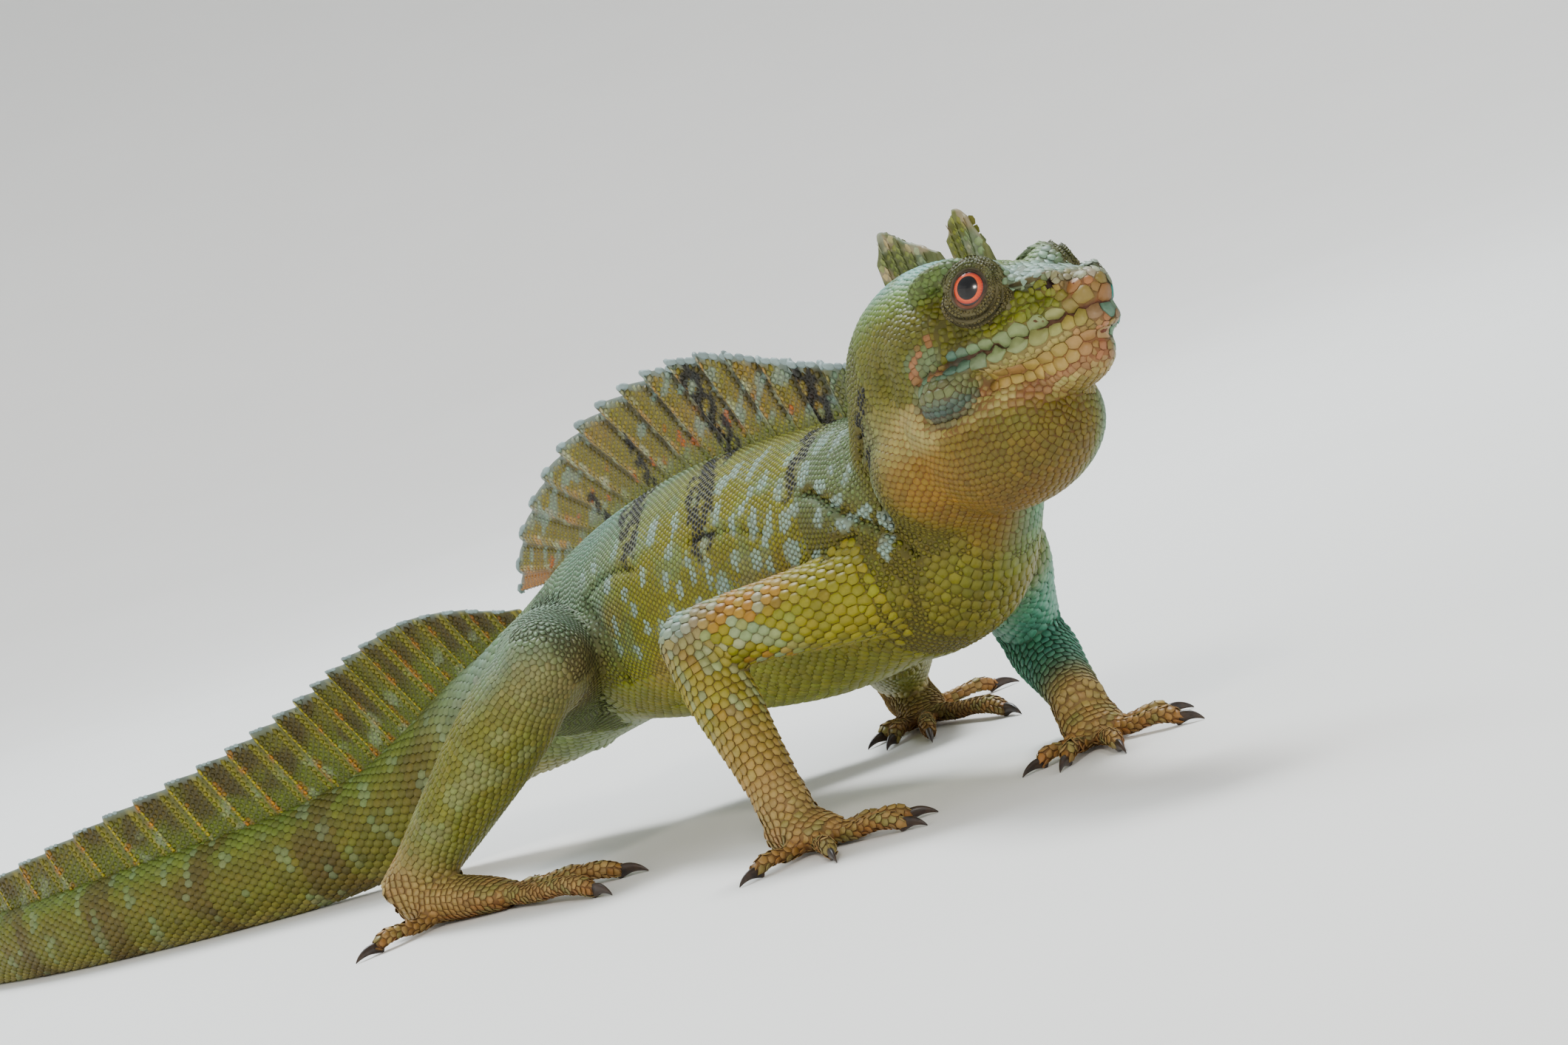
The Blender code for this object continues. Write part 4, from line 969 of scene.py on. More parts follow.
def lay_rings(line, part, pitch, across, arc=(0, 360), start=0.0, end=None, reach=(0.55, 1.32),
              kind=SCALE, samples=150, only=None, jitter=0.035):
    """Rings of scales along a line. Pitch and width are millimetres, or functions of the distance."""
    end = line.length if end is None else end
    at, ring, before = start, 0, len(coat.place)
    angles = np.radians(np.linspace(arc[0], arc[1], samples + 1))
    while at < end:
        step = pitch(at) if callable(pitch) else pitch
        width = across(at) if callable(across) else across
        middle, along, side, top, sizes = line.at(at)
        x, z = line.outline(sizes, angles)
        away = np.outer(x, side) + np.outer(z, top)
        expected = np.linalg.norm(away, axis=1)
        away = away / expected[:, None]
        found = []
        for direction, far in zip(away, expected):
            hit = on_skin(middle, direction, far * reach[1])
            if hit is not None and np.linalg.norm(hit[0] - middle) < far * reach[0]:
                hit = None
            found.append(hit)
        shell = np.array([hit[0] if hit else middle + direction * far
                          for hit, direction, far in zip(found, away, expected)])
        run = np.concatenate([[0], np.cumsum(np.linalg.norm(np.diff(shell, axis=0), axis=1))])
        whole = arc[1] - arc[0] >= 360
        count = max(int(round(run[-1] / width)), 4)
        spots = (np.arange(count) + (0.5 if ring % 2 else 0.0)) * run[-1] / count
        spots = spots + chance.normal(0, jitter * width, len(spots))
        if not whole:
            spots = spots[spots < run[-1]]
        for spot in spots:
            there = spot % run[-1] if whole else spot
            k = min(int(np.searchsorted(run, there, side="right")) - 1, samples - 1)
            if k < 0 or found[k] is None or found[k + 1] is None:
                continue
            share = min(max((spot % run[-1] - run[k]) / max(run[k + 1] - run[k], 1e-6), 0), 1)
            p = shell[k] + (shell[k + 1] - shell[k]) * share + along * chance.normal(0, jitter * step)
            normal = unit(found[k][1] * (1 - share) + found[k + 1][1] * share)
            if in_eye(p) or (only and not only(p)) or (part in HEAD_PARTS and in_gap(p)):
                continue
            lie = unit(along - normal * (along @ normal))
            coat.add(p, normal, lie, (step, run[-1] / count), kind, part)
        at += step
        ring += 1
    print(f"{part}: {len(coat.place) - before} scales")

# %% [markdown]
# ## Plates of the head
# The lips carry one row of large plates above and one below the mouth. Below them follow rows
# of smaller plates, and the snout ends in a few large ones. They are set first, so that all
# other scales keep clear of them.

# %% Lip, chin and snout plates
HEAD_FORWARD = HEAD_AXES[:, 0]
UPPER_LIP = [(-3.4, 3.9, 1.9), (-8.0, 6.6, 1.4), (-11.7, 8.1, 1.1), (-15.2, 9.4, 0.75),
             (-18.4, 10.5, 0.6), (-21.5, 11.4, 0.55), (-25.0, 12.3, 0.6), (-29.0, 13.4, 0.3)]
LOWER_LIP = [(-0.7, 1.4, -0.7), (-2.5, 3.7, -1.0), (-4.9, 5.2, -1.2), (-7.1, 6.4, -1.4),
             (-10.3, 7.9, -1.75), (-15.0, 9.6, -2.0), (-19.4, 11.1, -2.0), (-22.8, 12.1, -1.9),
             (-25.7, 12.4, -1.8), (-29.0, 13.0, -1.9)]
CHIN_ROW = [(-2.6, 2.0, -3.4), (-4.8, 3.2, -3.8), (-7.2, 4.7, -4.3), (-10.6, 6.0, -4.7),
            (-14.5, 6.5, -5.0), (-18.3, 7.3, -4.9), (-22.4, 9.5, -4.5), (-25.2, 11.0, -4.4)]
JAW_ROW = [(-4.4, 2.2, -5.9), (-6.4, 3.6, -6.3), (-9.4, 5.2, -6.9), (-16.3, 5.8, -7.2),
           (-20.8, 7.1, -6.9), (-25.6, 9.4, -6.6)]


def row_on_skin(side, points):
    """A smooth path on the skin through the places where a row of plates lies."""
    path = []
    for x, y, z in smooth_row(points, np.linspace(0, len(points) - 1, 120)):
        core = np.array([min(x, -6.0), 0, z])
        hit = on_skin(from_head(core), unit((np.array([x, y * side, z]) - core) @ HEAD_AXES.T), 40)
        if hit is not None:
            path.append(hit[0])
    path = np.array(path)
    for _ in range(6):
        path[1:-1] = (path[:-2] + 2 * path[1:-1] + path[2:]) / 4
    return path


def lay_row(side, points, lengths, tall, part):
    """One row of plates, each as long as its number says."""
    path = row_on_skin(side, points)
    run = np.concatenate([[0], np.cumsum(np.linalg.norm(np.diff(path, axis=0), axis=1))])
    at = 0.0
    for i, length in enumerate(lengths):
        here = at + length / 2
        if here > run[-1]:
            break
        p = np.array([np.interp(here, run, path[:, k]) for k in range(3)])
        p, normal = onto_skin(p)
        k = int(np.searchsorted(run, here))
        lie = unit(path[min(k + 3, len(path) - 1)] - path[max(k - 3, 0)])
        height = tall[0] + (tall[1] - tall[0]) * i / max(len(lengths) - 1, 1)
        coat.add(p, normal, unit(lie - normal * (lie @ normal)), (length, height), PLATE, part)
        at += length


def set_plate(place, size, part="snout", kind=PLATE):
    """Two plates, one on each side, at a place in the head's frame."""
    for side in (1, -1):
        p, normal = onto_skin(from_head(np.array(place) * [1, side, 1]))
        lie = -HEAD_FORWARD - normal * (-HEAD_FORWARD @ normal)
        coat.add(p, normal, unit(lie), (size, size) if np.isscalar(size) else size, kind, part)


def lay_face():
    for x, z, size, part in ((0.0, 2.4, 2.6, "snout"), (0.0, -0.9, 2.4, "lips"),
                             (0.0, -3.6, 3.0, "chin"), (0.2, 5.0, 2.2, "snout")):
        hit = on_skin(from_head((-14, 0, z)), HEAD_FORWARD, 30)
        up = unit(HEAD_UP - hit[1] * (HEAD_UP @ hit[1]))
        coat.add(hit[0], hit[1], -up, (size, size), PLATE, part)
    for side in (1, -1):
        lay_row(side, UPPER_LIP, [2.3, 4.0, 4.1, 3.9, 3.5, 3.0, 2.5, 2.3, 2.1, 2.0], (2.4, 1.9), "lips")
        lay_row(side, LOWER_LIP, [2.6, 2.5, 2.5, 2.6, 4.4, 4.9, 4.4, 3.6, 3.0, 2.7, 2.4],
                (2.9, 2.5), "lips")
        lay_row(side, CHIN_ROW, [2.8, 3.0, 3.4, 3.6, 3.4, 3.2, 2.9, 2.5, 2.3], (3.0, 2.1), "chin")
        lay_row(side, JAW_ROW, [2.6, 2.8, 2.9, 2.8, 2.7, 2.6, 2.5, 2.4, 2.3, 2.2], (2.5, 2.0), "chin")
    for place, size in (((-1.9, 3.2, 3.0), (3.4, 3.0)), ((-0.4, 1.7, 2.6), (2.2, 3.0)),
                        ((-3.1, 3.5, 5.0), (4.0, 2.1)), ((-5.2, 5.3, 4.0), 1.9),
                        ((-1.0, 1.9, 5.2), 2.0), ((-7.6, 6.4, 3.8), 1.9), ((-9.6, 6.4, 5.2), 1.9),
                        ((-10.2, 7.4, 3.4), 2.1), ((-12.4, 7.6, 4.6), 2.0),
                        ((-13.2, 8.4, 2.9), 2.0), ((-15.6, 8.8, 3.4), 1.9)):
        set_plate(place, size)
    for k in range(9):
        a = 2 * math.pi * k / 9
        set_plate(NOSTRIL + [1.6 * math.cos(a), -0.4 * math.cos(a), 1.75 * math.sin(a)], 1.1, kind=SCALE)
    for i in range(-3, 4):
        for k in range(0, 3):
            x, z = -32 + 2.1 * i + (1.0 if k % 2 else 0), -5.2 + 1.75 * k
            if ((x + 32) / 7.0) ** 2 + ((z + 4.6) / 3.6) ** 2 < 1:
                set_plate((x, 17, z), 2.1, "swelling")


lay_face()
print("plates on the head:", len(coat.place))

# %% Rings on head, neck, trunk, limbs and tail
HEAD_CORE = Line(head_rows([(x, 0, z, w, 20, 26) for x, z, w in
                            ((-1.2, 1.2, 4), (-6, 0.8, 7), (-14, 0, 10), (-24, -1, 13),
                             (-34, -2, 17), (-44, -3, 18), (-56, -5, 17))]), 4, HEAD_UP, 2.0)


def on_crown(p):
    return to_head(p)[2] > 11.5


def on_snout(p):
    x, _, z = to_head(p)
    return x > -19 and z > 3.4


def on_throat(p):
    x, _, z = to_head(p)
    return z < -6.5 - (x + 30) * 0.16


def lay_body():
    wide = (0.1, 2.2)
    lay_rings(HEAD_CORE, "head", 1.5, 1.55, samples=140, reach=wide, end=18, only=on_snout, jitter=0.12)
    lay_rings(HEAD_CORE, "head", 1.18, 1.22, reach=wide, start=12, end=53, only=on_crown, jitter=0.1)
    lay_rings(HEAD_CORE, "head", 1.2, 1.5, reach=wide, start=4, end=55, only=on_throat)
    lay_rings(HEAD_CORE, "head", 1.24, 1.28, reach=wide, end=52, jitter=0.1)
    for side in ("right", "left"):
        lines = limbs[side]
        for hind in (False, True):
            bulk, toes, _ = feet[side, hind]
            name = f"{side}_{'hind' if hind else 'fore'}foot"
            for toe in toes:
                lay_rings(toe, name, 1.5, 1.5, samples=20, start=1.0, reach=(0.4, 1.5),
                          end=toe.length - 0.5)
            lay_rings(bulk[1], name, 1.5, 1.5, samples=40, reach=(0.3, 1.6))
            lay_rings(bulk[0], name, 1.5, 1.6, samples=40, reach=(0.5, 1.5))
        lay_rings(lines["forearm"], f"{side}_forearm", 1.75, 1.85, samples=60, start=3)
        lay_rings(lines["upper_arm"], f"{side}_upper_arm", 2.0, 2.2, samples=64, start=8,
                  reach=(0.5, 1.28))
        lay_rings(lines["shin"], f"{side}_shin", lambda d: 1.2 + 0.3 * rise(d, 5, 16),
                  lambda d: 1.25 + 0.3 * rise(d, 5, 16), samples=64, start=2)
        lay_rings(lines["thigh"], f"{side}_thigh", 1.2, 1.25, samples=72, start=14, kind=GRAIN,
                  reach=(0.5, 1.28))
    lay_rings(tail, "tail", lambda d: 2.2 - 1.1 * d / 560, lambda d: max(2.3 - 1.3 * d / 560, 1.1),
              samples=72, start=10, reach=(0.5, 1.4))
    lay_rings(nape, "neck", 1.05, 1.1, samples=110, start=8, kind=GRAIN, end=44, reach=(0.4, 1.25))
    lay_rings(trunk, "trunk", 2.0, 2.1, arc=(225, 315), samples=60, reach=(0.5, 1.35))
    lay_rings(trunk, "trunk", 1.6, 1.7, arc=(200, 340), samples=90, reach=(0.5, 1.3))
    lay_rings(trunk, "trunk", 1.12, 1.18, kind=GRAIN, reach=(0.5, 1.2))


lay_body()
print("scales laid in rings:", len(coat.place))

# %% [markdown]
# ## Fins and crests
# The fins of back and tail are thin skin over long spines of the backbone. The spines show as
# ridges on both faces, the skin between them hangs in a pleat, and each spine ends in a point
# with a notch behind it. The two crests of the head are built the same way, only smaller. A fin
# is a sheet with a thickness at each place, given by two shares: along the fin and up the ray.

# %% The sheet of a fin
def ramp(values, t):
    """Reads evenly spaced values smoothly, for shares from 0 to 1."""
    return smooth_row(np.asarray(values, float)[:, None], np.asarray(t) * (len(values) - 1))[..., 0]


class Fin:
    """Base, lean and length are functions of the share along the fin, in millimetres."""

    def __init__(self, base, lean, length, rays, thick=1.5, edge=0.6, sink=4.0, notch=0.1, pleat=0.75,
                 calm=0.0):
        self.base, self.lean, self.length, self.rays = base, lean, length, rays
        self.thick, self.edge, self.sink = thick, edge, sink
        self.notch, self.pleat, self.calm = notch, pleat, calm

    def rest(self, t):
        """The share of notch and pleat that is left where the fin grows calm to its rear."""
        return 1 - self.calm * rise(t, 0.45, 0.85)

    def reach(self, t):
        behind = (t * (self.rays - 1)) % 1
        drop = rise(behind, 0.0, 0.12) * (1 - behind) ** 1.2
        return self.length(t) * (1 - self.notch * drop * rise(t, 0.1, 0.35) * self.rest(t))

    def sheet(self, t, s):
        """Middle points, ray directions, directions across and half thicknesses."""
        root, ray = self.base(t), self.lean(t)
        ahead = self.base(np.minimum(t + 0.006, 1)) - self.base(np.maximum(t - 0.006, 0))
        across = unit(np.cross(ahead, ray))
        behind = (t * (self.rays - 1)) % 1
        near_ray = np.minimum(behind, 1 - behind)
        ridge = np.exp(-(near_ray / 0.13) ** 2) + 0.35 * np.exp(-((behind - 0.33) / 0.09) ** 2)
        half = (self.thick * (1 - s) + self.edge * s) / 2 + 0.6 * ridge * (1 - 0.45 * s) - 0.15
        sway = self.pleat * self.rest(t) * s * (np.sin(2 * math.pi * behind)
                                                + 0.4 * np.sin(4 * math.pi * behind))
        up = s * (self.reach(t) + self.sink) - self.sink
        return root + ray * up[..., None] + across * sway[..., None], ray, across, half

    def height(self, t, s):
        """The share of the visible height."""
        return np.clip((s * (self.reach(t) + self.sink) - self.sink) / self.reach(t), 0, 1)

    def faces_of(self, columns, rows):
        """Points of both faces on a grid, with the shares of each point, and the faces."""
        t, s = np.meshgrid(np.linspace(0, 1, columns), np.linspace(0, 1, rows) ** 0.9, indexing="ij")
        t, s = t.ravel(), s.ravel()
        middle, _, across, half = self.sheet(t, s)
        half = half * np.where(s > 0.999, 0.55, 1.0)
        points = np.concatenate([middle + across * half[:, None], middle - across * half[:, None]])
        other = columns * rows
        faces = []
        for i in range(columns - 1):
            for k in range(rows - 1):
                a, b = i * rows + k, (i + 1) * rows + k
                faces += [(a, b, b + 1, a + 1), (a + other, a + 1 + other, b + 1 + other, b + other)]
            for k in (0, rows - 1):
                a, b = i * rows + k, (i + 1) * rows + k
                faces.append((a, b, b + other, a + other) if k else (b, a, a + other, b + other))
        for i in (0, columns - 1):
            for k in range(rows - 1):
                a, b = i * rows + k, i * rows + k + 1
                faces.append((a, b, b + other, a + other) if i == 0 else (b, a, a + other, b + other))
        return points, faces, np.tile(t, 2), np.tile(s, 2)


SAIL_RIDGE = [(8, 0, 76.5), (-16, -0.5, 74.6), (-40, -1.5, 74.6), (-66, -2, 73.4), (-92, -3, 70.0),
              (-118, -4, 64.6), (-142, -5.5, 57.4)]
SAIL_LENGTHS = [4, 10.0, 16.5, 23.5, 27.5, 29.8, 32, 32.5, 30.5, 21]
SAIL_LEANS = [14, 20, 27, 34, 42, 50, 59, 69, 80, 92]
TAIL_FIN_SPAN = (0.5, 9.6)
TAIL_FIN_LENGTHS = [4, 13, 20, 23.5, 24.5, 23, 20, 16.5, 13, 9.5, 6.5, 4, 2.5]


def leaning(degrees):
    a = np.radians(degrees)
    return np.stack([-np.sin(a), np.zeros_like(a), np.cos(a)], -1)


def tail_fin_base(t):
    row = smooth_row(TAIL_ROWS, TAIL_FIN_SPAN[0] + (TAIL_FIN_SPAN[1] - TAIL_FIN_SPAN[0]) * np.asarray(t))
    return np.stack([row[..., 0], row[..., 1], row[..., 2] + row[..., 4]], -1)


def tail_fin_lean(t):
    along = unit(tail_fin_base(np.minimum(t + 0.02, 1)) - tail_fin_base(np.maximum(t - 0.02, 0)))
    flat = unit(along * [1, 1, 0])
    return unit(np.array([0, 0, 1.0]) + flat * (0.75 - 0.3 * np.asarray(t))[..., None])


def head_crest(start, end, lengths, leans, rays):
    def base(t):
        t = np.asarray(t, float)[..., None]
        x_z = np.array(start) + (np.array(end) - np.array(start)) * t
        return from_head(np.concatenate([x_z[..., :1], 0 * t, x_z[..., 1:]], -1))

    return Fin(base, lambda t: leaning(ramp(leans, t)) @ HEAD_AXES.T, lambda t: ramp(lengths, t),
               rays, thick=2.0, edge=0.8, sink=2.5, notch=0.05, pleat=0.1)


FINS = {
    "back_sail": Fin(lambda t: smooth_row(SAIL_RIDGE, np.asarray(t) * 6),
                     lambda t: leaning(ramp(SAIL_LEANS, t)),
                     lambda t: ramp(SAIL_LENGTHS, t), 18, notch=0.10, calm=0.6),
    "tail_sail": Fin(tail_fin_base, tail_fin_lean, lambda t: ramp(TAIL_FIN_LENGTHS, t), 30,
                     thick=1.4, notch=0.09, pleat=0.45),
    "front_head_crest": head_crest((-26.5, 16.2), (-35.5, 19.8), [2.5, 9.5, 7.6, 3.0],
                                   [4, 10, 14, 20], 5),
    "rear_head_crest": head_crest((-40, 20.0), (-56, 17.5), [1.5, 4.5, 7.0, 10, 11.5, 7],
                                  [16, 16, 16, 14, 12, 14], 7),
}
FIN_GRIDS = {"back_sail": (17 * 14 + 1, 26), "tail_sail": (29 * 10 + 1, 18),
             "front_head_crest": (41, 16), "rear_head_crest": (61, 16)}

# %% Scales in rows along the rays
def lay_fin(name, fin, rows_between, pitch):
    """Rows of small scales run up the rays and the skin between them, on both faces."""
    before = len(coat.place)
    step_t = 1 / ((fin.rays - 1) * rows_between)
    crest = "crest" in name
    for i in range(2 * crest, (fin.rays - 1) * rows_between + 1 - crest):
        t = i * step_t
        total = float(fin.reach(np.array([t]))[0]) + fin.sink
        count = max(int((total - 0.5) / pitch), 2)
        s = (np.arange(count) + (0.5 if i % 2 else 0.1)) * pitch / total
        s = s[(s > (fin.sink - 2.6) / total) & (s < 1 - 0.45 / total)]
        if not len(s):
            continue
        flat_t = np.clip(np.full(len(s), t), 0.002, 0.998)
        middle, ray, across, half = fin.sheet(flat_t, s)
        beside = fin.sheet(np.minimum(flat_t + 0.3 * step_t, 1), s)
        ahead = beside[0] - middle
        wide = np.minimum(np.linalg.norm(ahead, axis=1) / 0.3, 2.0)
        for sign in (1, -1):
            skin_point = middle + across * (half * sign)[:, None]
            next_point = beside[0] + beside[2] * (beside[3] * sign)[:, None]
            normal = unit(np.cross(next_point - skin_point, ray) * sign)
            for p, n, r, w, share in zip(skin_point, normal, ray, wide, s):
                if above_skin(p) >= -0.15:
                    coat.add(p, n, unit(r - n * (r @ n)), (pitch, w), SCALE if crest else GRAIN, name,
                             where=(t, share), crowded=True)
    print(f"{name}: {len(coat.place) - before} scales")


for name, rows_between, pitch in (("back_sail", 9, 1.7), ("tail_sail", 9, 1.7),
                                  ("front_head_crest", 3, 1.7), ("rear_head_crest", 3, 1.7)):
    lay_fin(name, FINS[name], rows_between, pitch)

# %% [markdown]
# ## Eyelids
# The lids are a soft cup round the eye, with its opening along the gaze. Three folds run under
# the eye and one over it. The cup is set out in circles round the gaze, which also give the
# rows of its tiny grains. At its outer border it dips below the skin of the head.

# %% Lids
LID_STEP, LID_GRAIN = 5.4, (0.66, 0.6)     # degrees between rings, millimetres


def lay_lids(side):
    """Rings of grains on the lids, then on the pressed-in skin round them."""
    before = len(coat.place)
    for theta in np.arange(8, 50, LID_STEP):
        count = int(2 * math.pi * 6.3 * math.sin(math.radians(36 + theta)) / LID_GRAIN[0])
        phi = (np.arange(count) + (0.5 if int(theta / LID_STEP) % 2 else 0)) * 360 / count
        own = lid_opening(phi) + (84 - lid_opening(phi)) * (theta - 3) / 50
        p = lid_points(side, own, phi)
        further, beside = lid_points(side, own + 1.0, phi), lid_points(side, own, phi + 1.0)
        normal = unit(np.cross(further - p, beside - p))
        normal = normal * np.sign(np.einsum("nc,nc->n", normal, p - EYES[side]))[:, None]
        lie = unit(beside - p)
        for q, n, d in zip(p, normal, lie):
            if above_skin(q) > -0.1:
                coat.add(q, n, unit(d - n * (d @ n)), LID_GRAIN, GRAIN, f"{side}_lids")
    for p, normal in zip(skin_points[::3], skin_normals[::3]):
        away = p - EYES[side]
        far = np.linalg.norm(away)
        if far < 7.6 and in_eye(p) and away @ GAZES[side] / far < math.cos(math.radians(LIDS_DIP)):
            lie = unit(HEAD_AXES[:, 0] - normal * (HEAD_AXES[:, 0] @ normal))
            coat.add(p, normal, lie, (0.9, 0.9), GRAIN, f"{side}_lids")
    print(f"{side} lids: {len(coat.place) - before} grains")


for side in EYES:
    lay_lids(side)

# %% [markdown]
# ## Filling what the rings missed
# In armpits, on the chest and where two families of rings meet, bare skin is left. Points of
# the skin itself are tried there in a shuffled order, each with the size and direction of the
# nearest scale.

# %% Fill the bare places
def tree_of(points):
    tree = KDTree(len(points))
    for i, p in enumerate(points):
        tree.insert(p, i)
    tree.balance()
    return tree


def fill_bare_skin():
    before = len(coat.place)
    tree = tree_of(coat.place)
    for i in chance.permutation(len(skin_points)):
        p = skin_points[i]
        _, near, distance = tree.find(p)
        size = coat.size[near]
        small = min(size)
        room = (0.8 if coat.kind[near] == PLATE else 0.62) * small
        if distance < room or p[2] < 0.3 or in_eye(p) or in_gap(p):
            continue
        small = min(small, 1.6)
        by_lids = "lids" in coat.part[near]
        if by_lids:
            small = 1.0
        normal = skin_normals[i]
        lie = coat.lie[near] - normal * (coat.lie[near] @ normal)
        kind = SCALE if coat.kind[near] == PLATE or by_lids else coat.kind[near]
        part = "head" if coat.part[near] in HEAD_PARTS or by_lids else coat.part[near]
        coat.add(p, normal, unit(lie), (small, small), kind, part)
    print("scales filled in:", len(coat.place) - before)


fill_bare_skin()

# %% [markdown]
# ## Each scale's outline
# Neighbouring scales share their borders, as tiles do. So the outline of each is worked out from
# its nearest neighbours: in every direction it reaches to the first plane that stands halfway to
# one of them, or nearer to the smaller one. All scales are done together in arrays.

# %% Borders between neighbours
P, N, LIE = (np.array(v) for v in (coat.place, coat.normal, coat.lie))
SIZE, KIND, PART, WHERE = (np.array(v) for v in (coat.size, coat.kind, coat.part, coat.where))
N, LIE = unit(N), unit(LIE)
ACROSS = unit(np.cross(N, LIE))
RADIUS = SIZE.min(axis=1) / 2
NEAR, NO_LIMIT = 18, 99
ASIDE = 0.12     # the cosine from which a neighbour bounds a direction


def neighbours():
    tree = tree_of(P)
    found = np.zeros((len(P), NEAR), int)
    for i, p in enumerate(P):
        found[i] = [k for _, k, _ in tree.find_n(p, NEAR + 1)][1:NEAR + 1]
    return found


near = neighbours()


def measured(vectors, axes):
    """Lengths of vectors along axes, a row of vectors for each axis."""
    return np.einsum("nkc,nc->nk", vectors, axes)


def half_size(chosen, u, v):
    """Half the size that scales were laid with, towards u along and v across their lie."""
    a, b = SIZE[chosen][..., 0] / 2, SIZE[chosen][..., 1] / 2
    if a.ndim < u.ndim:
        a, b = a[:, None], b[:, None]
    flat = np.maximum(np.hypot(u, v), 1e-6)
    return a * b / np.maximum(np.hypot(b * u / flat, a * v / flat), 1e-6)


def reach_of(chosen, directions):
    """How far the chosen scales reach in directions round the normal, 0 along the lie."""
    step = P[near[chosen]] - P[chosen][:, None]
    length = np.linalg.norm(step, axis=2)
    u, v = measured(step, LIE[chosen]), measured(step, ACROSS[chosen])
    flat = np.maximum(np.hypot(u, v), 1e-6)
    own = half_size(chosen, u, v)
    theirs = [np.einsum("nkc,nkc->nk", step, axes[near[chosen]]) for axes in (LIE, ACROSS)]
    other = half_size(near[chosen], *theirs)
    share = own / (own + other)
    limit = np.where(measured(N[near[chosen]], N[chosen]) < 0.05, NO_LIMIT, length * share)
    cosine = (u / flat)[..., None] * np.cos(directions) + (v / flat)[..., None] * np.sin(directions)
    bound = np.where(cosine > ASIDE, limit[..., None] / np.maximum(cosine, ASIDE), NO_LIMIT).min(axis=1)
    snug = np.isin(PART[chosen], [*FINS, "right_lids", "left_lids"])
    cap = np.where(snug, 0.76, 0.95)[:, None]
    a, b = SIZE[chosen][:, :1] * cap, SIZE[chosen][:, 1:] * cap
    power = np.where(KIND[chosen] == PLATE, 5.0, 2.0)[:, None]
    oval = (np.abs(np.cos(directions) / a) ** power
            + np.abs(np.sin(directions) / b) ** power) ** (-1 / power)
    return np.minimum(bound, oval)


print("scales in all:", len(P), "of them plates:", int((KIND == PLATE).sum()))

# %% [markdown]
# ## One set of markings
# The markings are a function of the place on the animal, so skin and scales can share them.
# Broad colours come first: olive to yellow-green flanks, a bluer back whose blue is partly painted
# sky reflection, a lime belly, a peach to olive throat, tan hands. Then come pale blue-grey spots in
# slanting rows on the flank, three broken black bands that run down from the sail, and reddish seams
# on lips and throat. Painted sky reflection also lies on upward faces of crown, neck, legs and tail,
# and painted shade in the skin folds, the sail's pleats, the lids, the mouth slit, the nostrils and
# under the mouth-corner swelling.

# %% Helpers for painting
RIPPLE_WAVES = 7


def ripple(points, size, seed):
    """A soft random field between about -1 and 1, with waves of the given size in millimetres."""
    rng = np.random.default_rng(seed)
    total = np.zeros(len(points))
    for _ in range(RIPPLE_WAVES):
        wave = unit(rng.normal(size=3)) * 2 * math.pi / (size * rng.uniform(0.7, 1.6))
        total += np.sin(points @ wave + rng.uniform(0, 2 * math.pi))
    return total / 3.2


def colour(*screen):
    return np.array(srgb(*screen))


def over(base, share, paint):
    """Paint laid over a base colour, as thick as its share."""
    share = np.asarray(share, float)[:, None]
    return base * (1 - share) + paint * share


def layers(count, ground, *coats):
    """Coats of paint over a ground colour, each with a share for every point and its colour."""
    base = np.tile(colour(*ground), (count, 1))
    for share, screen in coats:
        base = over(base, share, colour(*screen))
    return base


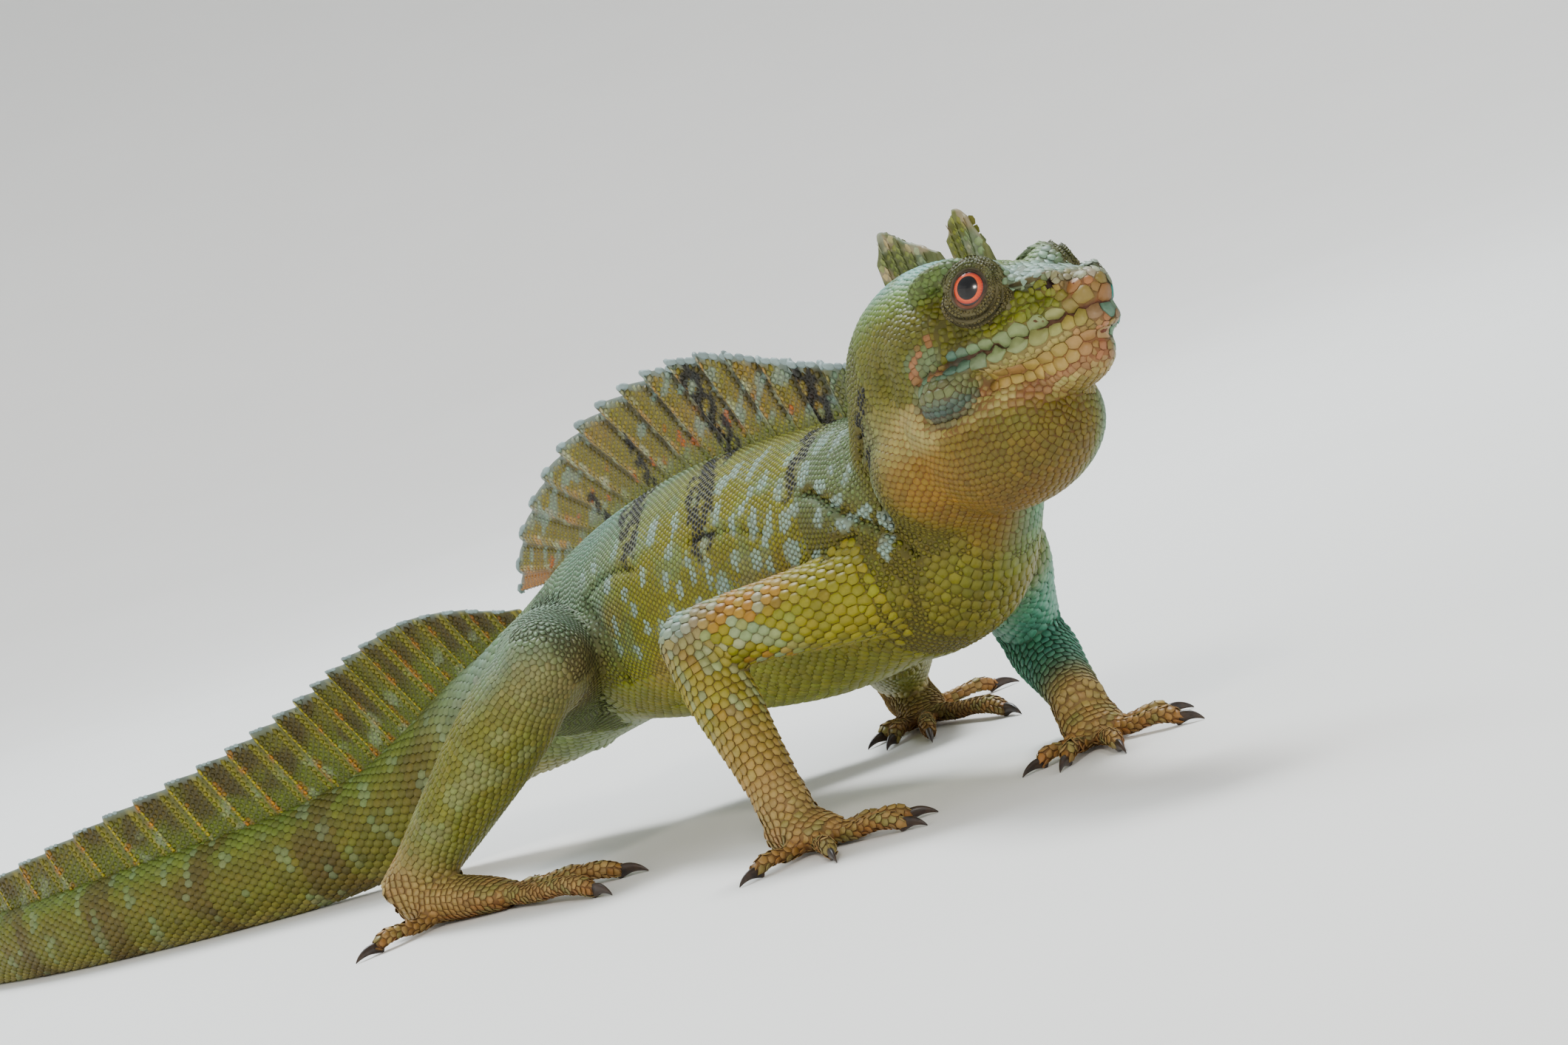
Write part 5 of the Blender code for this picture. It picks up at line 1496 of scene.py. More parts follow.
FLANK_SPOTS = [
    # x, z, half width and half height in millimetres
    (-10.3, 53.6, 1.7, 2.0), (-22.3, 53.9, 0.8, 1.3), (-28.8, 54.8, 0.7, 1.6), (-34.5, 50.7, 1.3, 2.0),
    (-22.5, 60.6, 0.8, 2.0), (-16.8, 59.8, 0.8, 1.8), (-11.7, 59.1, 1.1, 1.5), (-19.1, 57.1, 0.7, 1.1),
    (-29.5, 61.6, 0.7, 1.1), (-39.4, 59.8, 0.7, 1.7), (-38.8, 55.6, 0.6, 1.3), (-46.0, 56.9, 0.6, 1.1),
    (-61.0, 63.8, 1.2, 2.0), (-68.7, 62.7, 1.0, 1.8), (-77.6, 61.9, 0.9, 1.3), (-63.5, 56.1, 0.9, 1.3),
    (-54.9, 54.2, 0.8, 1.1), (-49.6, 51.9, 0.6, 1.3), (-44.4, 54.2, 0.6, 1.3), (-38.7, 52.6, 0.4, 1.1),
    (-65.5, 46.2, 0.9, 1.1), (-59.7, 45.5, 0.6, 1.1), (-69.0, 50.2, 0.7, 1.0), (-71.7, 53.5, 0.7, 1.1),
    (-50.5, 46.0, 0.8, 1.2), (-52.0, 42.0, 0.6, 1.0), (-72.9, 41.7, 0.6, 1.1), (-79.7, 42.9, 0.6, 1.0),
    (-43.7, 48.9, 0.6, 1.0), (-54.1, 48.0, 0.6, 1.0), (-14.4, 64.9, 1.1, 1.4), (-6.9, 66.8, 1.3, 1.5),
    (0.3, 63.7, 1.8, 0.9), (4.8, 60.7, 2.2, 0.8), (7.9, 65.0, 1.1, 1.8), (2.9, 66.5, 0.5, 1.1),
    (-21.3, 67.5, 0.6, 1.3), (1.0, 71.0, 0.6, 2.0), (-4.9, 71.2, 1.6, 1.0), (-9.4, 70.4, 0.9, 0.9),
    (-26.9, 70.5, 0.7, 1.7), (-37.3, 68.8, 1.3, 1.2), (-44.9, 66.5, 0.7, 2.5), (-34.4, 70.7, 1.1, 0.8),
    (21.2, 71.4, 1.0, 2.6), (20.9, 67.6, 2.1, 1.0), (19.8, 60.2, 1.7, 1.1), (12.7, 57.3, 1.7, 1.1),
    (16.4, 54.8, 0.9, 2.0), (7.3, 56.3, 2.2, 1.1), (-0.5, 58.3, 0.9, 1.7), (-2.4, 51.6, 1.0, 1.3),
    (15.4, 50.1, 1.5, 1.5), (-78.5, 47.5, 0.8, 1.3), (-84.9, 51.3, 1.1, 1.5), (-79.6, 56.0, 1.0, 1.1),
    (-93.6, 58.2, 1.0, 1.0), (-102.8, 55.4, 0.9, 0.9), (-14.5, 70.0, 0.9, 0.8), (-25.2, 66.2, 0.6, 1.0),
    (-26.4, 63.8, 0.6, 1.0), (-51.9, 64.0, 0.6, 1.7), (-52.5, 59.4, 0.6, 1.5), (-35.8, 64.3, 0.6, 1.3),
    (-18.0, 52.1, 0.7, 0.8), (-8.6, 61.4, 0.7, 0.9), (-87.6, 59.8, 1.0, 0.9),
]
BLACK_BANDS = [
    # lines in x and z down from the sail, with a half width
    ([(-15.4, 77), (-12.4, 73.2), (-10.9, 70.9), (-10.7, 67.2), (-11.2, 65)], 1.0),
    ([(-54, 78), (-51, 74), (-47.9, 71.4), (-44.4, 68.2), (-41.4, 64.2), (-40.2, 60)], 1.7),
    ([(-90, 75), (-84, 71.4), (-77, 69), (-72.6, 65.5), (-70.6, 61.5)], 1.5),
    ([(24.0, 77.8), (20.6, 73.8), (19.0, 69.9), (20.9, 66.3)], 0.8),
]
PALE_BLUE = colour(170, 192, 184)
BLACK = colour(20, 18, 14)
LEFT_SHIFT = 2.5     # the marks of the left flank stand this far behind those of the right


def flank_marks(points, base):
    """Spots and bands of the trunk and the neck, the same on both flanks."""
    flat = points[:, [0, 2]] + np.stack([ripple(points, 5, 3), ripple(points, 5, 4)], 1) * 0.35
    flat[:, 0] += np.where(points[:, 1] > 0, LEFT_SHIFT, 0.0)
    spots = np.full(len(points), 9.0)
    for x, z, a, b in FLANK_SPOTS:
        more = 0.25 if x > -5 else 0.65
        gap = np.hypot((flat[:, 0] - x) / (a + more), (flat[:, 1] - z) / (b + more))
        spots = np.minimum(spots, gap)
    base = over(base, rise(spots, 1.15, 0.85) * 0.9, PALE_BLUE)
    for line, width in BLACK_BANDS:
        gap = distance_to_line(np.column_stack([flat, np.zeros(len(flat))]), [(*p, 0) for p in line])
        base = over(base, rise(gap, width * 2.4, width * 2.0) * 0.5, colour(150, 150, 96))
    return base


def flank_black(points):
    """How black each place of trunk and neck is, in laced bands."""
    ahead = points[:, 0] + np.where(points[:, 1] > 0, LEFT_SHIFT, 0.0)
    flat = np.column_stack([ahead, points[:, 2], np.zeros(len(points))])
    flat[:, 0] += ripple(points, 4, 3) * 0.5
    black = np.zeros(len(points))
    for line, width in BLACK_BANDS:
        gap = distance_to_line(flat, [(*p, 0) for p in line])
        laced = rise(ripple(points, 3.6, 11) + 0.7 * rise(gap, width * 1.4, width * 0.3), -0.25, -0.1)
        black = np.maximum(black, rise(gap, width * 2.6, width * 2.3) * laced)
    return black

# %% Paint of trunk, neck and tail
def paint_trunk(p, _):
    up = (p[:, 2] - 46) / 28
    warm = rise(ripple(p, 26, 21), 0.2, 0.9) * rise(up, 0.5, 0.0) * rise(up, -0.7, -0.3)
    return flank_marks(p, layers(len(p), (144, 142, 46),
        (rise(up, 0.55, 0.95) * 0.8, (146, 150, 80)),
        # blue of the upper rear trunk: partly its own colour, partly painted sky reflection
        (rise(up, 0.35, 0.9) * rise(-p[:, 0], 40, 100) * 0.8, (124, 162, 156)),
        (rise(-p[:, 0], 62, 100) * rise(-up, 0.6, 0.0) * 0.75, (126, 160, 146)),
        (rise(ripple(p * [0.5, 1, 0.3], 5, 23), 0.2, 0.8) * rise(up, -0.5, 0.1)
         * 0.35, (128, 164, 146)),
        (rise(-up, 0.05, 0.5), (142, 142, 44)),
        (rise(-up, 0.62, 0.9), (146, 152, 76)),
        (warm * 0.5, (162, 138, 98)),
        (rise(p[:, 0], -6, 8) * rise(-up, -0.35, 0.1) * 0.8, (122, 116, 34)),
        (rise(p[:, 0], 20, 30) * rise(-up, -0.2, 0.2) * 0.6, (118, 122, 52)),
        (rise(-p[:, 0], 105, 125) * 0.6, (126, 146, 112))))


def paint_neck(p, n):
    return flank_marks(p, layers(len(p), (116, 112, 50),
        # painted sky reflection: upward faces of the neck turn grey-blue
        (rise(n[:, 2], 0.0, 0.7), (124, 142, 106)),
        (rise(p[:, 2], 58, 50) * 0.7, (118, 112, 34))))


def paint_tail(p, n):
    run = -150 - p[:, 0]
    bars = np.sin(run * 2 * math.pi / 34 + ripple(p, 12, 5) * 0.6)
    return layers(len(p), (116, 114, 40),
        (rise(n[:, 2], 0.1, 0.8), (114, 128, 66)),
        # painted sky reflection: pale blue on the upward faces near the tail's root
        (rise(run, 50, 8) * rise(n[:, 2], -0.5, 0.6), (142, 162, 148)),
        (rise(n[:, 2], -0.3, -0.8) * 0.6, (164, 156, 108)),
        (rise(bars, 0.35, 0.8) * 0.55 * rise(run, 20, 60), (92, 72, 38)),
        (rise(ripple(p, 7, 31), 0.55, 0.9) * 0.45, (140, 160, 130)))

# %% Paint of the head
def paint_head(p, _):
    h = to_head(p)
    x, y, z = h.T
    wide = np.abs(y)
    folded, flat = np.column_stack([x, wide, z]), np.column_stack([x, z, 0 * x])
    brow = distance_to_line(folded, [row[:3] for row in BROW_ROWS])
    line = smooth_row(MOUTH_LINE, np.linspace(0, 7, 60))
    mouth = np.interp(-x, -line[:, 0], line[:, 2])
    under = mouth - z
    jaw = rise(under, 1.5, 3.5)
    throat = rise(under, 9, 13)
    swelling = oval(folded, (-32, 16, -4.9), (7.4, 7, 4.3))
    fold = oval(folded, (-34, 16, 1.6), (5.5, 7, 2.6))
    streak = distance_to_line(flat, [(-37.2, -0.6, 0), (-34.0, 3.2, 0)])
    corner = distance_to_line(flat, [(-33.0, -1.6, 0), (-27.5, -0.9, 0)])
    tip = rise(x, -7, -2.5)
    patch = oval(folded, (-31.5, 15, 4.6), (1.0, 6, 1.2))
    return layers(len(p), (112, 110, 40),
        (rise(z, 9, 15), (128, 148, 88)),
        # painted sky reflection: pale blue patches on the top of the crown
        (rise(z, 14, 19.5) * rise(ripple(p, 7, 8), -0.9, 0.0), (148, 190, 184)),
        (rise(x, -24, -17) * rise(z, 7.0, 9.6), (166, 188, 178)),
        (rise(x, -24, -16) * rise(z, 8.5, 6.5), (130, 134, 66)),
        (rise(brow, 3.0, 2.0) * rise(x, -12, -16) * 0.7, (104, 120, 76)),
        (rise(oval(h, (-34, 14, 10), (9, 30, 6)), 1.1, 0.4) * 0.45, (110, 92, 62)),
        (rise(z, -2, -8) * rise(x, -40, -46), (112, 100, 48)),
        (rise(oval(folded, (-43, 16, -9), (4, 8, 5)), 1.1, 0.5) * 0.6, (150, 118, 84)),
        (jaw, (176, 164, 116)),
        (jaw * rise(ripple(h * [0.6, 1, 1], 6, 14), 0.1, 0.5) * rise(under, 4, 6)
         * rise(under, 13, 9) * rise(x, -38, -30) * 0.7, (150, 106, 84)),
        (throat, (150, 122, 66)),
        (throat * rise(x, -44, -26) * 0.85, (112, 102, 48)),
        (throat * rise(z, -19, -27) * 0.8, (126, 102, 48)),
        (throat * rise(ripple(p, 12, 19), 0.2, 0.9) * 0.35, (126, 130, 70)),
        (throat * rise(y, 2, 11) * 0.85, (104, 160, 136)),
        (rise(swelling, 1.15, 0.9), (126, 130, 96)),
        (rise(swelling, 1.15, 0.9) * rise(ripple(p, 5, 18), 0.1, 0.5) * 0.8, (116, 142, 120)),
        (rise(swelling, 1.2, 0.95) * rise(z, -5.2, -7.4) * 0.8, (98, 112, 106)),
        # painted shadow under the swelling at the corner of the mouth
        (rise(oval(folded, (-31.5, 16, -9.6), (6.5, 6, 1.3)), 1.15, 0.7) * 0.6, (66, 72, 62)),
        (rise(fold, 1.1, 0.6) * 0.8, (122, 136, 108)),
        (rise(streak, 1.1, 0.6) * (wide > 8) * 0.8, (172, 126, 98)),
        (rise(corner, 0.9, 0.5) * (wide > 8) * 0.7, (170, 120, 90)),
        (tip * 0.8, (170, 122, 98)),
        (tip * rise(ripple(p, 4, 17), -0.2, 0.2) * 0.8, (144, 132, 84)),
        (tip * rise(z, 5.4, 6.6), (176, 178, 158)),
        (rise(y, 0.5, 3.5) * tip * 0.85, (56, 146, 140)),
        (rise(patch, 1.2, 0.8) * 0.7, (170, 124, 98)))


def paint_lips(p, _):
    h = to_head(p)
    front = rise(h[:, 1] + np.where(h[:, 2] < 0, 2.6, 0), -0.5, 1.5)
    return layers(len(p), (146, 158, 118),
        (rise(h[:, 0], -19, -29), (106, 132, 118)),
        (rise(ripple(p, 6, 43), 0.2, 0.7) * 0.6, (164, 170, 128)),
        (rise(h[:, 0], -16, -9) * rise(h[:, 2], 1.0, -1.0), (162, 164, 114)),
        (rise(h[:, 0], -8.5, -5) * 0.8, (160, 144, 92)),
        (rise(h[:, 0], -3.2, -1.6) * 0.8, (156, 120, 96)),
        (front * rise(h[:, 0], -12, -4) * 0.6, (60, 142, 134)))


def paint_chin(p, _):
    h = to_head(p)
    return layers(len(p), (176, 156, 104),
        (rise(h[:, 0], -9, -5) * 0.6, (174, 136, 110)),
        (rise(ripple(h, 7, 44), 0.25, 0.7) * 0.6, (172, 128, 104)),
        (rise(h[:, 1], -1.0, 3.5) * 0.8, (98, 152, 136)))

# %% Paint of legs and feet
def along_share(p, a, b):
    a, b = np.array(a, float), np.array(b, float)
    return np.clip((p - a) @ (b - a) / ((b - a) @ (b - a)), 0, 1)


def paint_limb(part):
    side, limb = part.split("_", 1)
    j = JOINTS[side]

    def paint(p, n):
        if limb == "upper_arm":
            t = along_share(p, j["shoulder"], j["elbow"])
            base = layers(len(p), (150, 144, 54),
                (rise(n[:, 2], 0.0, 0.6) * rise(t, 0.2, 0.5), (174, 148, 88)),
                (rise(ripple(p, 5, 51), 0.1, 0.5) * rise(t, 0.25, 0.55) * 0.7, (176, 134, 80)),
                (rise(ripple(p, 4, 56), 0.3, 0.6) * rise(t, 0.2, 0.6) * 0.65, (160, 182, 158)),
                # painted sky reflection: pale blue on the upward faces near the elbow
                (rise(t, 0.75, 1.0) * rise(n[:, 2], -0.1, 0.6) * 0.7, (138, 172, 168)))
        elif limb == "forearm":
            t = along_share(p, j["elbow"], j["wrist"])
            base = layers(len(p), (160, 150, 84),
                (rise(t, 0.2, 0.0), (156, 150, 112)),
                (rise(ripple(p, 3.6, 52), 0.3, 0.6) * rise(t, 0.95, 0.7) * 0.5, (162, 178, 152)),
                (rise(ripple(p, 4.6, 57), 0.35, 0.7) * 0.45, (172, 136, 84)),
                (rise(t, 0.45, 0.85), (172, 144, 92)))
        elif limb == "thigh":
            t = along_share(p, j["hip"], j["knee"])
            base = layers(len(p), (126, 140, 84),
                # painted sky reflection: upward faces of the thigh turn bluish green
                (rise(n[:, 2], -0.4, 0.5), (132, 156, 134)),
                (rise(ripple(p, 8, 53), 0.2, 0.7) * 0.4, (150, 160, 112)),
                (rise(t, 0.6, 0.95) * rise(n[:, 2], 0.7, -0.2)
                 * rise(ripple(p, 7, 59), -0.9, 0.4) * 0.8, (158, 128, 100)))
        elif limb == "shin":
            t = along_share(p, j["knee"], j["ankle"])
            base = layers(len(p), (128, 128, 66),
                (rise(t, 0.3, 0.0) * 0.7, (142, 136, 100)),
                # painted sky reflection: upward faces of the shin near the knee turn bluish
                (rise(t, 0.4, 0.0) * rise(n[:, 2], 0.0, 0.8) * 0.9, (132, 158, 142)),
                (rise(ripple(p, 9, 54), 0.1, 0.7) * 0.5, (150, 156, 118)),
                (rise(t, 0.75, 1.0) * 0.7, (146, 128, 98)))
        else:
            base = layers(len(p), (176, 150, 106),
                (rise(p[:, 2], 4.6, 1.6) * 0.7, (150, 108, 68)),
                (rise(ripple(p, 4, 55), 0.2, 0.7) * 0.45, (186, 166, 122)),
                (rise(ripple(p, 5, 58), 0.1, 0.6) * 0.5, (146, 152, 104)))
        if side == "left" and limb in ("upper_arm", "forearm"):
            base = over(base, np.full(len(p), 0.7), colour(66, 160, 150))
        return base

    return paint


# %% Paint of fins, crests and lids
def fin_shares(name, where):
    fin = FINS[name]
    t, s = where[:, 0], where[:, 1]
    behind = (t * (fin.rays - 1)) % 1
    return t, fin.height(t, s), np.minimum(behind, 1 - behind), behind


def paint_back_sail(p, where):
    t, high, off_ray, behind = fin_shares("back_sail", where)
    return layers(len(p), (128, 120, 58),
        (rise(ripple(p, 16, 71), -0.2, 0.9) * 0.6, (142, 120, 68)),
        # painted shadow: a dark band in the pleat valley just behind each ray, fainter towards the rear
        (rise(behind, 0.05, 0.15) * rise(behind, 0.5, 0.22)
         * (0.9 - 0.45 * rise(t, 0.45, 0.85)), (56, 52, 30)),
        (rise(off_ray, 0.17, 0.06) * 0.9, (158, 142, 86)),
        (rise(off_ray, 0.2, 0.05) * rise(ripple(p, 7, 72), 0.1, 0.6) * 0.8, (190, 152, 100)),
        (rise(ripple(p, 4.0, 73), 0.45, 0.7) * rise(off_ray, 0.34, 0.1) * 0.8, (176, 184, 150)),
        (rise(ripple(p, 5.5, 76), 0.55, 0.8) * 0.55, (140, 166, 158)),
        (rise(ripple(p, 5.0, 74), 0.8, 1.0) * rise(high, 0.6, 0.3) * 0.8, (176, 98, 58)),
        (rise(high, 0.28, 0.02) * 0.8, (124, 132, 66)),
        (rise(t, 0.17, 0.05) * 0.75, (76, 104, 84)),
        (rise(t, 0.93, 0.96) * rise(high, 0.2, 0.4) * 0.7, (190, 136, 92)),
        (rise(high, 0.88, 0.96) * 0.8, (136, 154, 146)))


def sail_black(points):
    """How black each place of the back sail is."""
    flat = np.column_stack([points[:, [0, 2]], np.zeros(len(points))])
    black = np.zeros(len(points))
    for line, width in (([(-14.9, 75.4), (-18, 82), (-22.5, 90)], 2.4),
                        ([(-53, 75), (-57, 82), (-61.7, 90)], 2.9),
                        ([(-61.7, 90), (-67, 98)], 0.9), ([(-89, 72), (-93, 78), (-94.7, 82)], 1.2),
                        ([(-112, 67), (-117, 72)], 1.2)):
        gap = distance_to_line(flat, [(*q, 0) for q in line])
        laced = rise(ripple(points, 3.0, 75), -0.4, -0.25)
        black = np.maximum(black, rise(gap, width * 1.45, width * 1.2) * laced)
    return black * 0.95


def paint_tail_sail(p, where):
    t, high, off_ray, behind = fin_shares("tail_sail", where)
    patch = (rise(behind, 0.3, 0.5) * rise(behind, 0.98, 0.85) * rise(high, 0.15, 0.4)
             * rise(ripple(p, 9, 81), -0.6, 0.2))
    rays = []
    for at, width in ((0.0, 0.07), (0.16, 0.045), (0.30, 0.04)):
        gap = np.minimum(np.abs(behind - at), np.abs(behind - 1 - at))
        rays.append((rise(gap, width, width * 0.4) * 0.9, (168, 158, 50)))
    return layers(len(p), (98, 108, 34),
        (rise(high, 0.3, 0.7) * 0.6, (96, 88, 30)),
        (patch * 0.7, (70, 54, 24)),
        *rays,
        (rise(off_ray, 0.16, 0.05) * rise(ripple(p, 5, 82), 0.3, 0.7) * 0.75, (186, 122, 60)),
        (rise(ripple(p, 8, 83), 0.6, 0.85) * rise(high, 0.6, 0.3) * 0.6, (140, 156, 120)),
        (rise(t, 0.5, 0.9) * 0.4, (104, 90, 40)),
        (rise(high, 0.90, 0.98) * 0.8, (140, 158, 150)))


def paint_crest(p, _):
    return layers(len(p), (130, 136, 74),
        (rise(to_head(p)[:, 0], -38, -42) * 0.6, (108, 118, 80)),
        (rise(ripple(p, 4.2, 91), 0.1, 0.5) * 0.85, (182, 166, 130)),
        (rise(ripple(p, 6, 92), 0.35, 0.7) * 0.5, (150, 174, 150)))


def paint_lids(p, _):
    return layers(len(p), (92, 86, 54),
        # painted shade under the brow: the upper part of the lids is darker
        (rise(to_head(p)[:, 2], 9, 13) * 0.8, (80, 86, 50)),
        (rise(ripple(p, 3.5, 93), 0.1, 0.8) * 0.4, (92, 82, 50)))


# Painters that take the shares of a fin, and painters that take the normals.
BY_SHARES = {"back_sail": paint_back_sail, "tail_sail": paint_tail_sail, "front_head_crest": paint_crest,
             "rear_head_crest": paint_crest, "right_lids": paint_lids, "left_lids": paint_lids}
PAINTERS = {"trunk": paint_trunk, "neck": paint_neck, "tail": paint_tail, "head": paint_head,
            "lips": paint_lips, "chin": paint_chin, "snout": paint_head, "swelling": paint_head}
PLATED = ["lips", "chin", "snout", "swelling"]
FLANKS = ["trunk", "neck"]


SPREADS, BLENDS = 2, 6


def blended(tint):
    """Lets the colours of body parts run into each other where the parts meet."""
    fixed = np.isin(PART, [*BY_SHARES, *PLATED])
    region = np.where(np.isin(PART, ["neck", "right_upper_arm", "right_forearm"]), "trunk", PART)
    meets = ~fixed & ((region[near] != region[:, None]) & ~fixed[near]).any(axis=1)
    share = meets.astype(float)
    for _ in range(SPREADS):
        share = np.maximum(share, 0.7 * share[near].max(axis=1))
    share = np.where(fixed, 0, share)[:, None] * 0.6
    open_to = (~fixed[near])[..., None]
    for _ in range(BLENDS):
        around = (tint[near] * open_to).sum(axis=1) / np.maximum(open_to.sum(axis=1), 1)
        tint = np.where(open_to.any(axis=1), tint * (1 - share) + around * share, tint)
    return tint


# How much of its own colour a seam keeps, in red, green and blue.
SEAM_SHARE, RED_SEAM_SHARE, ARM_SEAM_SHARE = [0.20, 0.16, 0.10], [0.30, 0.11, 0.07], [0.20, 0.12, 0.08]
FIN_SEAM_SHARE, LID_SEAM_SHARE = [0.62, 0.58, 0.52], [0.35, 0.31, 0.25]
PURITY = 1.22


def paint_all():
    """The colour and the seam colour of every scale."""
    tint = np.zeros((len(P), 3))
    for part in np.unique(PART):
        chosen = np.where(PART == part)[0]
        if part in BY_SHARES:
            tint[chosen] = BY_SHARES[part](P[chosen], WHERE[chosen])
        else:
            painter = PAINTERS.get(part) or paint_limb(part)
            tint[chosen] = painter(P[chosen], N[chosen])
    tint = blended(tint)
    flanks, thin = np.isin(PART, FLANKS), np.isin(PART, list(BY_SHARES))
    red = np.isin(PART, PLATED) | ((PART == "head") & (to_head(P)[:, 2] < -5))
    handed = np.array([("foot" in part) or ("arm" in part) for part in PART])
    lids = np.array(["lids" in part for part in PART])
    seam = tint * SEAM_SHARE
    seam[flanks] *= 1.25
    seam[red] = tint[red] * RED_SEAM_SHARE
    seam[handed] = tint[handed] * ARM_SEAM_SHARE
    tint = np.where(thin[:, None], tint ** 1.08, 0.80 * tint ** 1.18)
    grey = tint.mean(axis=1, keepdims=True)
    tint = np.maximum(grey + (tint - grey) * PURITY, 0.003)
    seam = 0.9 * seam
    seam[thin] = tint[thin] * FIN_SEAM_SHARE
    seam[lids] = tint[lids] * LID_SEAM_SHARE
    # painted shade: trunk and neck scales and seams are darker along the skin folds
    painted_fold_shade = np.ones(len(P))
    for width, depth, gap in fold_gaps(P[flanks]):
        painted_fold_shade[flanks] *= 1 - 0.55 * min(depth, 1) * bell(gap, width * 0.8)
    tint, seam = tint * painted_fold_shade[:, None], seam * painted_fold_shade[:, None]
    lively = 1 + chance.normal(0, 0.085, len(P)) + 0.07 * ripple(P, 7, 61)
    tint = tint * lively[:, None] * (1 + chance.normal(0, 0.03, (len(P), 3)))
    return np.clip(tint, 0.004, 0.95), np.clip(seam, 0.002, 0.9)


BLACK_MARKS = {"coat_trunk": flank_black, "coat_neck": flank_black, "coat_back_sail": sail_black,
               "back_sail_skin": sail_black}
TINT, SEAM = paint_all()
print("mean colour of the coat", np.round(TINT.mean(0), 3))

# %% [markdown]
# ## Scales as solid tiles
# A grain is a low pyramid over six corners. A scale has an inner ring as well and is tilted, so
# that its rear edge stands up like a roof tile. A plate has a flat middle and a soft edge, and
# its corners follow the skin. All are closed below. Each corner carries the scale's own tint,
# the colour of its seam, and a number that is 1 at the rim and 0 in the middle.

# %% Building the tiles of one piece
SHAPES = {
    # corners, the inner ring's share of the reach and its height, the height of the middle,
    # the tilt, and the share of its room that a scale fills
    GRAIN: (6, None, 0.17, 0.09, 0.985),
    SCALE: (8, (0.92, 0.085), 0.10, 0.13, 0.98),
    PLATE: (16, (0.95, 0.06), 0.075, 0.01, 0.985),
}
PLATE_CORNERS = np.array([math.atan2(y, x) for x, y in (
    (1.6, 0), (1.6, 0.5), (1.6, 1), (0.8, 1), (0, 1), (-0.8, 1), (-1.6, 1), (-1.6, 0.5),
    (-1.6, 0), (-1.6, -0.5), (-1.6, -1), (-0.8, -1), (0, -1), (0.8, -1), (1.6, -1), (1.6, -0.5))])
KEELED, KEEL_HEIGHT, KEEL_REACH = ("arm", "shin", "tail"), 0.07, 0.13
LOW_RELIEF = ("back_sail", "tail_sail", "lids", "crest")
MAP_SCALE = 0.0014     # how large one scale is on the flat map


def tiles(name, chosen, part_line):
    """Solid tiles of the chosen scales as one object, which may hold all three shapes."""
    points, faces, soft, tints, seams, rims, roots, offsets = [], [], [], [], [], [], [], []
    count = 0
    for kind, (corners, inner, height, tilt, fill) in SHAPES.items():
        own = chosen[KIND[chosen] == kind]
        if not len(own):
            continue
        directions = PLATE_CORNERS if kind == PLATE else np.arange(corners) * 2 * math.pi / corners
        reach = reach_of(own, directions)
        low = any(word in name for word in LOW_RELIEF)
        keel = KEEL_HEIGHT if any(word in name for word in KEELED) and not low else 0.0
        small = RADIUS[own][:, None] * (1.1 if low else 2)
        if keel:
            reach = reach * (1 + KEEL_REACH * np.maximum(np.cos(directions), 0) ** 3)
        cosine, sine = np.cos(directions), np.sin(directions)
        out = LIE[own][:, None] * cosine[:, None] + ACROSS[own][:, None] * sine[:, None]
        lean = cosine * tilt
        levels = [P[own][:, None] + out * (reach * fill)[..., None]
                  + N[own][:, None] * (small * (np.maximum(lean, -0.02) - 0.04))[..., None]]
        values = [np.ones((len(own), corners))]
        if inner:
            share, raised = inner
            lift = raised + lean * 0.75 + keel * cosine ** 4
            levels.append(P[own][:, None] + out * (reach * share)[..., None]
                          + N[own][:, None] * (small * lift)[..., None])
            values.append(np.full((len(own), corners), 0.25 if kind == SCALE else 0.12))
        levels.append(P[own][:, None] + N[own][:, None] * (small * (height + keel))[..., None])
        values.append(np.zeros((len(own), 1)))
        block = np.concatenate(levels, axis=1)
        if kind == PLATE:
            block = hugging(block, small, corners, inner, height)
        per = block.shape[1]
        base = count + np.arange(len(own)) * per
        borders = [(k, (k + 1) % corners) for k in range(corners)]
        local, ring = [], corners if inner else 0
        if inner:
            for a, b in borders:
                local += [(a, b, corners + b), (a, corners + b, corners + a)]
        local += [(ring + a, ring + b, per - 1) for a, b in borders]
        local += [(0, k + 1, k) for k in range(1, corners - 1)]
        walls = np.ones(len(local), bool)
        if inner:
            walls[:2 * corners] = False
            walls[3 * corners:] = False
        soft.append(np.tile(walls, len(own)))
        faces.append((base[:, None, None] + np.array(local)[None]).reshape(-1, 3))
        points.append(block.reshape(-1, 3))
        tints.append(np.repeat(TINT[own], per, axis=0))
        seams.append(np.repeat(SEAM[own], per, axis=0))
        rims.append(np.concatenate(values, axis=1).ravel())
        roots.append(np.repeat(unwrapped(P[own], part_line), per, axis=0))
        far = block - P[own][:, None]
        spread = np.maximum(np.abs(far).max(axis=(1, 2)), 1e-6)[:, None]
        flat = np.stack([measured(far, LIE[own]) / spread, measured(far, ACROSS[own]) / spread], 2)
        offsets.append(flat.reshape(-1, 2) * MAP_SCALE)
        count += block.shape[0] * per
    points, tints, seams = np.concatenate(points), np.concatenate(tints), np.concatenate(seams)
    obj = new_mesh(name, points, np.concatenate(faces), np.concatenate(soft))
    if name in BLACK_MARKS:
        black = BLACK_MARKS[name](points)
        tints, seams = over(tints, black, BLACK), over(seams, black, BLACK * 0.5)
    colour_points(obj, tints, seams, np.concatenate(rims))
    lay_map(obj, np.concatenate(roots) + np.concatenate(offsets))
    return obj


def hugging(block, small, corners, inner, height):
    """Moves the corners of plates onto the skin below them, at their own heights."""
    heights = np.concatenate([np.full(corners, -0.05), np.full(corners, inner[1]), [height]])
    for i in range(len(block)):
        for k in range(block.shape[1]):
            place, normal = onto_skin(block[i, k])
            block[i, k] = place + normal * (0.05 + heights[k] * small[i, 0])
    return block


